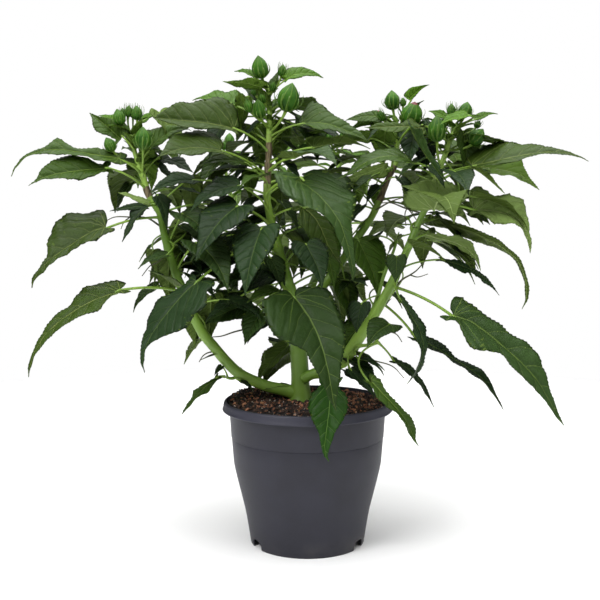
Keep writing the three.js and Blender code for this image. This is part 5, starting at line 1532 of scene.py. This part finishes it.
# bare and forked twigs, in millimetres: points x, y, z and a radius at each end
twigs = (
    (((138.4, -26, 405.6), (117.5, -10, 412.9), (102.7, 0, 419.1), (89, 10, 419.3)), 1.3, 0.6),
    (((120.1, -8, 414.2), (126, -20, 404.5), (131.3, -26, 396.1)), 0.9, 0.5),
    (((85.4, 26, 410.9), (97.3, 20, 418.3), (107.6, 12, 423), (122.8, 6, 427.8)), 1.2, 0.6),
    (((121.4, 4, 428.9), (122.2, 0, 416.7), (119.1, 4, 405.8), (121, 8, 391.2)), 1, 0.5),
    (((105.4, -30, 320), (113.2, -34, 328.6), (121.3, -36, 333.5),
      (129.2, -38, 339.5), (138.3, -40, 350.3)), 1.4, 0.6),
    (((121.3, -36, 333.5), (130, -42, 331.5), (140.9, -48, 335.4)), 0.9, 0.45),
    (((-176.6, -22, 391.4), (-191, -28, 400.9), (-210.1, -34, 402),
      (-227.1, -38, 402), (-239.7, -40, 396.1)), 1.3, 0.5),
    (((-210.1, -34, 402), (-216.2, -40, 396.1), (-219.1, -44, 388)), 0.8, 0.4),
    (((-75.9, 4, 264.4), (-90.3, -2, 261.4), (-104.6, -8, 257.2), (-116.4, -12, 256.4)), 1.2, 0.6),
    (((77, -30, 276.8), (90.9, -36, 267.9), (104.9, -40, 263.5), (111.9, -42, 254.2)), 1.1, 0.5),
    (((51, -28, 240.3), (77, -34, 231.5), (100.6, -38, 224.8), (114.6, -42, 211)), 1.1, 0.45),
    (((-165.9, -24, 360.4), (-179.9, -20, 348.2), (-189.9, -18, 343.3), (-199.7, -18, 331.2)), 1.1, 0.5),
    (((-152, -24, 318.4), (-142.3, -16, 302), (-138.1, -12, 282.2), (-143.2, -12, 265)), 1.1, 0.5),
    (((-102.7, -18, 236.4), (-116, -18, 238.9), (-125.4, -22, 235.8), (-131, -26, 227.8)), 1.2, 0.5),
)
twigLines = newLines()
for points, thick, thin in twigs:
    line = stemPath([(*p, thick) for p in points])[::4]
    last = len(line) - 1
    addLine(twigLines, [p for p, r in line], [thick + (thin - thick) * i / last for i in range(last + 1)])


# buds: a ribbed calyx that closes to a point, a ring of thin bracts, and a stalk
buds = {
    "around": 40, "up": 22, "ribHigh": 0.045, "fineRib": 0.012,
    "profile": ((0, 0.34), (0.04, 0.54), (0.12, 0.79), (0.25, 0.96), (0.4, 1), (0.56, 0.95), (0.7, 0.79),
                (0.82, 0.55), (0.92, 0.28), (1, 0.03)),
    "bracts": 11, "bractShare": {"small": 1.08, "big": 0.6}, "bigOver": 13.5, "upright": 0.6,
    "redTips": (("crown-middle", 1),),
    # small buds beside the measured ones, by the same six numbers, and one with a petal showing
    "small": {
        "crown-center-upper": [[0.72, -160, 24, 28, 12, 8.5], [0.8, -109, 8, 23, 13, 9],
                               [0.9, -72, 14, 17, 12, 8], [0.83, 177, 32, 20, 11, 7.5]],
        "crown-middle": [[0.86, -161, 18, 25, 15, 9, "petal"], [0.95, -95, 83, 14, 11, 8]],
        "crown-right-upper": [[0.94, 54, 52, 21, 11, 7.5], [0.74, 96, 70, 30, 13, 9],
                              [0.88, 28, 17, 38, 11, 8]],
        "crown-left-upper": [[0.93, 149, 63, 31, 11, 8], [0.94, 93, 66, 28, 10, 7],
                             [0.77, 15, 45, 24, 14, 9.5]],
        "crown-back-left": [[0.96, -82, 72, 18, 12, 9]],
        "crown-back-right": [[0.94, -95, 56, 19, 12, 9]],
    },
}


def profileAt(table, t):
    for (t0, w0), (t1, w1) in zip(table, table[1:]):
        if t <= t1:
            k = (t - t0) / (t1 - t0)
            k = k * k * (3 - 2 * k) * 0.5 + k * 0.5
            return w0 + (w1 - w0) * k
    return table[-1][1]


budBag = newBag("budMap")
bractSpots = []
budDraw = seeded(303)


def addBud(base, along, tall, wide, tipFinish):
    side = along.orthogonal().normalized()
    other = along.cross(side)
    twist = budDraw() * 6.28
    rows = []
    for i in range(buds["up"] + 1):
        t = i / buds["up"]
        radius = wide / 2 * profileAt(buds["profile"], t)
        row = []
        for j in range(buds["around"]):
            u = j / buds["around"]
            turn = 2 * math.pi * u + twist + 0.35 * t
            rib = (1 + buds["ribHigh"] * math.cos(5 * 2 * math.pi * u) * math.sin(math.pi * min(1, t * 1.1))
                   + buds["fineRib"] * math.cos(10 * 2 * math.pi * u))
            out = side * math.cos(turn) + other * math.sin(turn)
            row.append(addPoint(budBag, base + along * (tall * t) + out * (radius * rib), (u, t)))
        rows.append(row)
    for i in range(buds["up"]):
        finish = tipFinish if tipFinish and i >= buds["up"] - 2 else "calyxGreen"
        for j in range(buds["around"]):
            n = (j + 1) % buds["around"]
            addFace(budBag, [rows[i][j], rows[i][n], rows[i + 1][n], rows[i + 1][j]], finish)
    addFace(budBag, list(reversed(rows[0])), "calyxGreen")
    addFace(budBag, list(rows[-1]), tipFinish or "calyxGreen")
    count = buds["bracts"] + round(2 * (budDraw() - 0.5))
    reach = buds["bractShare"]["big" if wide > buds["bigOver"] else "small"]
    for k in range(count):
        turn = 2 * math.pi * (k + 0.35 * (budDraw() - 0.5)) / count + twist
        out = side * math.cos(turn) + other * math.sin(turn)
        sized = (wide * (0.85 + 0.35 * budDraw()), tall, tall * (reach + 0.26 * (budDraw() - 0.5)))
        foot = base + out * (wide * 0.13) + along * (tall * 0.01)
        bractSpots.append((foot, turnTo(out, along.cross(out), along), sized))


for name, mass in masses.items():
    path = stretch(mass)
    for index, row in enumerate(mass.get("buds", []) + buds["small"].get(name, [])):
        at, heading, rise, pedicel, tall, wide = row[:6]
        arch = grow["pedicelArch"]
        stalk = curve(pointAt(path, at), lambda t: heading, lambda t: rise + arch * (0.5 - t), pedicel)
        along = (direction(heading, rise - arch * 0.5) + Vector((0, 0, buds["upright"]))).normalized()
        tip = "petalRose" if len(row) > 6 else "petalRed" if (name, index) in buds["redTips"] else None
        addBud(stalk[-1], along, tall, wide, tip)
        thin = grow["petioleThin"] + wide * 0.03
        shares = [i / 8 for i in range(9)]
        swollen = [thin * (1 + 0.8 * math.exp(-t * pedicel / 4) + 0.5 * math.exp(-(1 - t) * pedicel / 4))
                   for t in shares]
        addLine(stalkLines, [alongCurve(stalk, t) for t in shares] + [stalk[-1] + along * (tall * 0.03)],
                swollen + [wide * 0.16])

# pairs of thin stipules where the young leaves leave the stem
for name in tufts["crowns"]:
    path = stretch(masses[name])
    rows = [row for row in masses[name]["leaves"] if row[0] > 0.3] + masses[name]["buds"]
    for row in rows + [[0.5 + 0.5 * budDraw(), 360 * budDraw()] for _ in range(14)]:
        for lean in (-34, 34):
            out = direction(row[1] + lean, 20 + 40 * budDraw())
            across = out.cross(Vector((0, 0, 1))).normalized()
            tall = 6 + 7 * budDraw()
            sized = (tall * 0.7, tall * 1.3, tall)
            bractSpots.append((pointAt(path, min(1, row[0])), turnTo(out.cross(across), -across, out), sized))

budPiece = meshFrom(budBag, "buds")
finishPiece(budPiece, "leaves")


# one bract, a unit high, curving out from the bud's foot and up again
def makeBractShape():
    bag = newBag()
    rings = []
    for i in range(9):
        t = i / 8
        out = 0.5 * math.sin(math.pi * min(1.0, t * 0.66 + 0.02)) ** 0.85
        width = 0.052 * (1 - 0.85 * t) + 0.005
        place = Vector((out, 0, t))
        rings.append([addPoint(bag, (place + Vector((dx * width, dy * width, 0))) / mm)
                      for dx, dy in ((0.5, 0), (0, 1), (-0.5, 0), (0, -1))])
    skinRings(bag, rings, "bractGreen")
    return meshFrom(bag, "bractShape")


# puts a shape at each point, turned and sized by the point's own values
def makeScatterTree():
    tree, start, end = newShapeTree("scatterShape", [
        ("Shape", "NodeSocketObject", None), ("Finish", "NodeSocketMaterial", None)])
    shape = addNode(tree, "GeometryNodeObjectInfo")
    wire(tree, start.outputs["Shape"], shape.inputs["Object"])
    points = addNode(tree, "GeometryNodeMeshToPoints")
    wire(tree, start.outputs["Geometry"], points.inputs["Mesh"])
    spread = addNode(tree, "GeometryNodeInstanceOnPoints")
    wire(tree, points.outputs["Points"], spread.inputs["Points"])
    wire(tree, shape.outputs["Geometry"], spread.inputs["Instance"])
    turned = addNode(tree, "FunctionNodeEulerToRotation")
    wire(tree, namedValue(tree, "turned", "FLOAT_VECTOR"), turned.inputs[0])
    wire(tree, turned.outputs[0], spread.inputs["Rotation"])
    wire(tree, namedValue(tree, "sized", "FLOAT_VECTOR"), spread.inputs["Scale"])
    endTree(tree, end, spread.outputs["Instances"], start.outputs["Finish"])
    return tree


def pointCloud(name, spots):
    mesh = bpy.data.meshes.new(name)
    mesh.from_pydata([tuple(c * mm for c in place) for place, turned, sized in spots], [], [])
    for label, index, factor in (("turned", 1, 1.0), ("sized", 2, mm)):
        values = mesh.attributes.new(label, "FLOAT_VECTOR", "POINT")
        flat = [c * factor for spot in spots for c in spot[index]]
        values.data.foreach_set("vector", flat)
    return addObject(name, mesh)


def scatter(tree, name, spots, shape, finish):
    cloud = pointCloud(name + "Spots", spots)
    piece = runTree(tree, cloud, name, Shape=shape, Finish=finishes[finish])
    bpy.data.objects.remove(cloud)
    return piece


scatterTree = makeScatterTree()
bractShape = makeBractShape()
bractPiece = scatter(scatterTree, "bracts", bractSpots, bractShape, "bractGreen")
bpy.data.objects.remove(bractShape)
finishPiece(bractPiece, "leaves")
print("buds ready")


# skins every gathered line as a tube
def makeTubeTree():
    tree, start, end = newShapeTree("tubeSkin", [
        ("Sides", "NodeSocketInt", 8), ("Thickness", "NodeSocketFloat", 1.0),
        ("Finish", "NodeSocketMaterial", None)])
    lines = addNode(tree, "GeometryNodeMeshToCurve")
    wire(tree, start.outputs["Geometry"], lines.inputs["Mesh"])
    radius = times(tree, namedValue(tree, "thin"), start.outputs["Thickness"])
    ring = addNode(tree, "GeometryNodeCurvePrimitiveCircle")
    wire(tree, start.outputs["Sides"], ring.inputs["Resolution"])
    ring.inputs["Radius"].default_value = 1.0
    skin = addNode(tree, "GeometryNodeCurveToMesh")
    wire(tree, lines.outputs["Curve"], skin.inputs["Curve"])
    wire(tree, radius, skin.inputs["Scale"])
    wire(tree, ring.outputs["Curve"], skin.inputs["Profile Curve"])
    skin.inputs["Fill Caps"].default_value = True
    smooth = addNode(tree, "GeometryNodeSetShadeSmooth")
    wire(tree, skin.outputs["Mesh"], smooth.inputs["Geometry"])
    endTree(tree, end, smooth.outputs["Geometry"], start.outputs["Finish"])
    return tree


def skinLines(tree, lines, name, finish, sides):
    mesh = bpy.data.meshes.new(name + "Lines")
    mesh.from_pydata([tuple(c * mm for c in p) for p in lines["points"]], lines["edges"], [])
    thin = mesh.attributes.new("thin", "FLOAT", "POINT")
    thin.data.foreach_set("value", [r * mm for r in lines["radius"]])
    source = addObject(name + "Lines", mesh)
    piece = runTree(tree, source, name, Sides=sides, Thickness=1.0, Finish=finishes[finish])
    bpy.data.objects.remove(source)
    return piece


tubeTree = makeTubeTree()
stalkPiece = skinLines(tubeTree, stalkLines, "petioles", "petioleGreen", 8)
finishPiece(stalkPiece, "green_stem")
twigPiece = skinLines(tubeTree, twigLines, "twigs", "twigDark", 6)
finishPiece(twigPiece, "green_stem")
print("petioles ready")


# pot: the wall turned round its axis, with the step, the rim band and the notches in its foot
pot = {
    "sides": 160, "wallThick": 2.2, "floorUnder": 12, "floorThick": 2.5, "padRadius": 22, "padSlope": 1.5,
    # height and radius up the wall, and the heights between which it is straight, with its step
    "wall": ((0, 70.7), (18, 73.4), (40, 77.2), (62, 82.4), (86, 88.3), (102, 91.5), (131.6, 93.8),
             (132.4, 93.6), (133.2, 94.4), (146, 95.1), (158, 95.9)),
    "straight": (102, 146), "foot": 0.5,
    # the band hangs from the rim, its lower edge rolled into a small bead; then over the lip and inside
    "rim": ((161, 96.1), (165.5, 96.3), (166, 97.1), (165.9, 103.4), (165.9, 104.3), (166.4, 104.85),
            (167.1, 105), (167.9, 104.75), (168.8, 104.3), (173.5, 103.4), (175.2, 103.1), (176.3, 102.5),
            (176.9, 101.7), (177, 101.2), (177, 100.5), (176.5, 99.9), (175.4, 99.5), (173, 99.2),
            (161, 93.7)),
    "notchWidth": 20, "notchHeight": 11, "notchRound": 7, "notchHeadings": (-150, -30, 90),
    "notchReach": (56, 90), "sharpAngle": 38,
}


def makePot():
    wall = [(r, z) for z, r in pot["wall"]]
    low, high = pot["straight"]
    smooth = []
    for i in range(len(wall) - 1):
        (r0, z0), (r1, z1) = wall[i], wall[i + 1]
        h = z1 - z0
        if low <= z0 and z1 <= high:
            smooth += [(r0 + (r1 - r0) * t, z0 + h * t) for t in (0, 0.5)]
            continue
        before = wall[i - 1] if i > 0 else (2 * r0 - r1, 2 * z0 - z1)
        after = wall[i + 2] if i + 2 < len(wall) else (2 * r1 - r0, 2 * z1 - z0)
        m0 = (r1 - before[0]) / (z1 - before[1])
        m1 = (after[0] - r0) / (after[1] - z0)
        for t in (0, 0.2, 0.4, 0.6, 0.8):
            r = ((2 * t ** 3 - 3 * t * t + 1) * r0 + (t ** 3 - 2 * t * t + t) * h * m0
                 + (-2 * t ** 3 + 3 * t * t) * r1 + (t ** 3 - t * t) * h * m1)
            smooth.append((r, z0 + h * t))
    smooth.append(wall[-1])
    smooth[0] = (smooth[0][0] - pot["foot"], 0)
    smooth.insert(1, (wall[0][0], pot["foot"] + 0.1))
    thick, under, over = pot["wallThick"], pot["floorUnder"], pot["floorUnder"] + pot["floorThick"]
    profile = [(0, 0), (pot["padRadius"], 0), (pot["padRadius"] + pot["padSlope"], under),
               (wall[1][0] - thick, under), (wall[0][0] - thick, 0)] + smooth
    profile += [(r, z) for z, r in pot["rim"]]
    profile += [(r - thick, z) for r, z in reversed(wall) if over < z <= low]
    profile += [(wall[1][0] - thick + 0.4, over), (0, over)]
    bag = newBag()
    sides = pot["sides"]
    rows = [ringOf(bag, r, z, sides) if r else [addPoint(bag, (0, 0, z))] * sides for r, z in profile]
    for a, b in zip(rows, rows[1:]):
        for j in range(sides):
            n = (j + 1) % sides
            corners = [a[j], a[n], b[n], b[j]]
            addFace(bag, [c for m, c in enumerate(corners) if c != corners[m - 1]], "potPlastic")
    piece = meshFrom(bag, "nurseryPot")
    cutters = []
    half, tall, bend = pot["notchWidth"] / 2, pot["notchHeight"], pot["notchRound"]
    turns = [k * math.pi / 16 for k in range(9)]
    arch = [(-half, -2), (half, -2)]
    arch += [(half - bend + bend * math.cos(a), tall - bend + bend * math.sin(a)) for a in turns]
    arch += [(bend - half - bend * math.sin(a), tall - bend + bend * math.cos(a)) for a in turns]
    for heading in pot["notchHeadings"]:
        cut = newBag()
        out, across = direction(heading, 0), direction(heading + 90, 0)
        ends = [[addPoint(cut, out * reach + across * a + Vector((0, 0, z))) for a, z in arch]
                for reach in pot["notchReach"]]
        skinRings(cut, ends, "potPlastic")
        cutter = meshFrom(cut, "notchCutter")
        bm = bmesh.new()
        bm.from_mesh(cutter.data)
        bmesh.ops.recalc_face_normals(bm, faces=bm.faces)
        bm.to_mesh(cutter.data)
        bm.free()
        cutters.append(cutter)
        boolean = piece.modifiers.new("notch", "BOOLEAN")
        boolean.object = cutter
        boolean.operation = "DIFFERENCE"
        boolean.solver = "EXACT"
    bpy.context.view_layer.update()
    mesh = bpy.data.meshes.new_from_object(piece.evaluated_get(bpy.context.evaluated_depsgraph_get()))
    piece.modifiers.clear()
    piece.data = mesh
    for cutter in cutters:
        bpy.data.objects.remove(cutter)
    mesh.polygons.foreach_set("use_smooth", [True] * len(mesh.polygons))
    bm = bmesh.new()
    bm.from_mesh(mesh)
    bmesh.ops.remove_doubles(bm, verts=bm.verts, dist=1e-6)
    for edge in bm.edges:
        edge.smooth = len(edge.link_faces) == 2 and edge.calc_face_angle(0) < math.radians(pot["sharpAngle"])
    bm.to_mesh(mesh)
    bm.free()
    finishPiece(piece, "pot_plastic", "pot")


makePot()


# soil: a crumbly heap with bark chips and pale bits scattered over it
soil = {
    "radius": 98.4, "low": 150, "lowRadius": 91.5, "edge": 173.8, "top": 178.5, "flat": 30,
    "heaps": ((-64, -44, 3.5, 34), (-78, 34, 8, 40)), "rings": 64, "around": 160,
    "sink": 1.2, "lump": 2.4, "lumpScale": 0.09, "crumb": 0.9, "crumbScale": 0.42, "trunk": (-8, -6, 13),
    # chips: name, finish, how many, seed, smallest and largest length in millimetres
    "chips": (("chipsDark", "chipDark", 1500, 5, 1.8, 7), ("chipsBark", "chipBark", 1150, 11, 1.4, 6.5),
              ("chipsPale", "chipPale", 280, 23, 1.2, 3.8)),
}


def soilHeight(x, y):
    r = math.hypot(x, y)
    if r < soil["flat"]:
        base = soil["top"]
    else:
        t = (r - soil["flat"]) / (soil["radius"] - soil["flat"])
        base = soil["top"] - (soil["top"] - soil["edge"]) * t ** 1.7
    for hx, hy, high, wide in soil["heaps"]:
        base += high * math.exp(-((x - hx) ** 2 + (y - hy) ** 2) / wide ** 2)
    lumps = noise.fractal(Vector((x * soil["lumpScale"], y * soil["lumpScale"], 3.1)), 0.8, 2.1, 4)
    crumbs = noise.noise(Vector((x * soil["crumbScale"], y * soil["crumbScale"], 7.7)))
    return base - soil["sink"] + soil["lump"] * lumps + soil["crumb"] * crumbs


def makeSoil():
    bag = newBag()
    center = addPoint(bag, (0, 0, soilHeight(0, 0)))
    rows = [ringOf(bag, soil["radius"] * i / soil["rings"], soilHeight, soil["around"])
            for i in range(1, soil["rings"] + 1)]
    rows.append(ringOf(bag, soil["lowRadius"], soil["low"], soil["around"]))
    foot = addPoint(bag, (0, 0, soil["low"]))
    for j in range(soil["around"]):
        n = (j + 1) % soil["around"]
        addFace(bag, [center, rows[0][j], rows[0][n]], "peat")
        for a, b in zip(rows, rows[1:]):
            addFace(bag, [a[j], b[j], b[n], a[n]], "peat")
        addFace(bag, [rows[-1][n], rows[-1][j], foot], "peat")
    piece = meshFrom(bag, "pottingSoil")
    finishPiece(piece, "peat_soil", "soil")


makeSoil()


# one chip: a flat splinter with broken edges, a unit long
def makeChipShape(name, seed):
    rng = random.Random(seed)
    bag = newBag()
    rings = []
    for z in (-0.12, 0.12):
        corners = [((0.5 + 0.12 * rng.random()) * math.cos(a),
                    0.3 * (0.75 + 0.5 * rng.random()) * math.sin(a),
                    z * (0.7 + 0.6 * rng.random())) for a in [k * math.pi / 3.5 for k in range(7)]]
        rings.append([addPoint(bag, Vector(corner) / mm) for corner in corners])
    skinRings(bag, rings, "peat")
    piece = meshFrom(bag, name)
    piece.data.polygons.foreach_set("use_smooth", [False] * len(piece.data.polygons))
    return piece


trunkX, trunkY, trunkWide = soil["trunk"]
for name, finish, count, seed, small, large in soil["chips"]:
    rng = random.Random(seed)
    spots = []
    while len(spots) < count:
        r, a = soil["radius"] * math.sqrt(rng.random()), rng.random() * 2 * math.pi
        x, y = r * math.cos(a), r * math.sin(a)
        size = small + (large - small) * rng.random() ** 2
        if r > soil["radius"] - 0.6 - size / 2 or math.hypot(x - trunkX, y - trunkY) < trunkWide:
            continue
        # the bark lies thicker on the right
        if finish == "chipBark" and rng.random() > 0.7 + x / 260:
            continue
        place = Vector((x, y, soilHeight(x, y) + size * 0.07))
        tilt = (rng.gauss(0, 0.6), rng.gauss(0, 0.6), rng.random() * 6.28)
        spots.append((place, tilt, (size, size * (0.5 + rng.random()), size * (0.7 + 0.9 * rng.random()))))
    shape = makeChipShape(name + "Shape", seed)
    chipPiece = scatter(scatterTree, name, spots, shape, finish)
    bpy.data.objects.remove(shape)
    finishPiece(chipPiece, "peat_soil")
print("pot and soil ready")
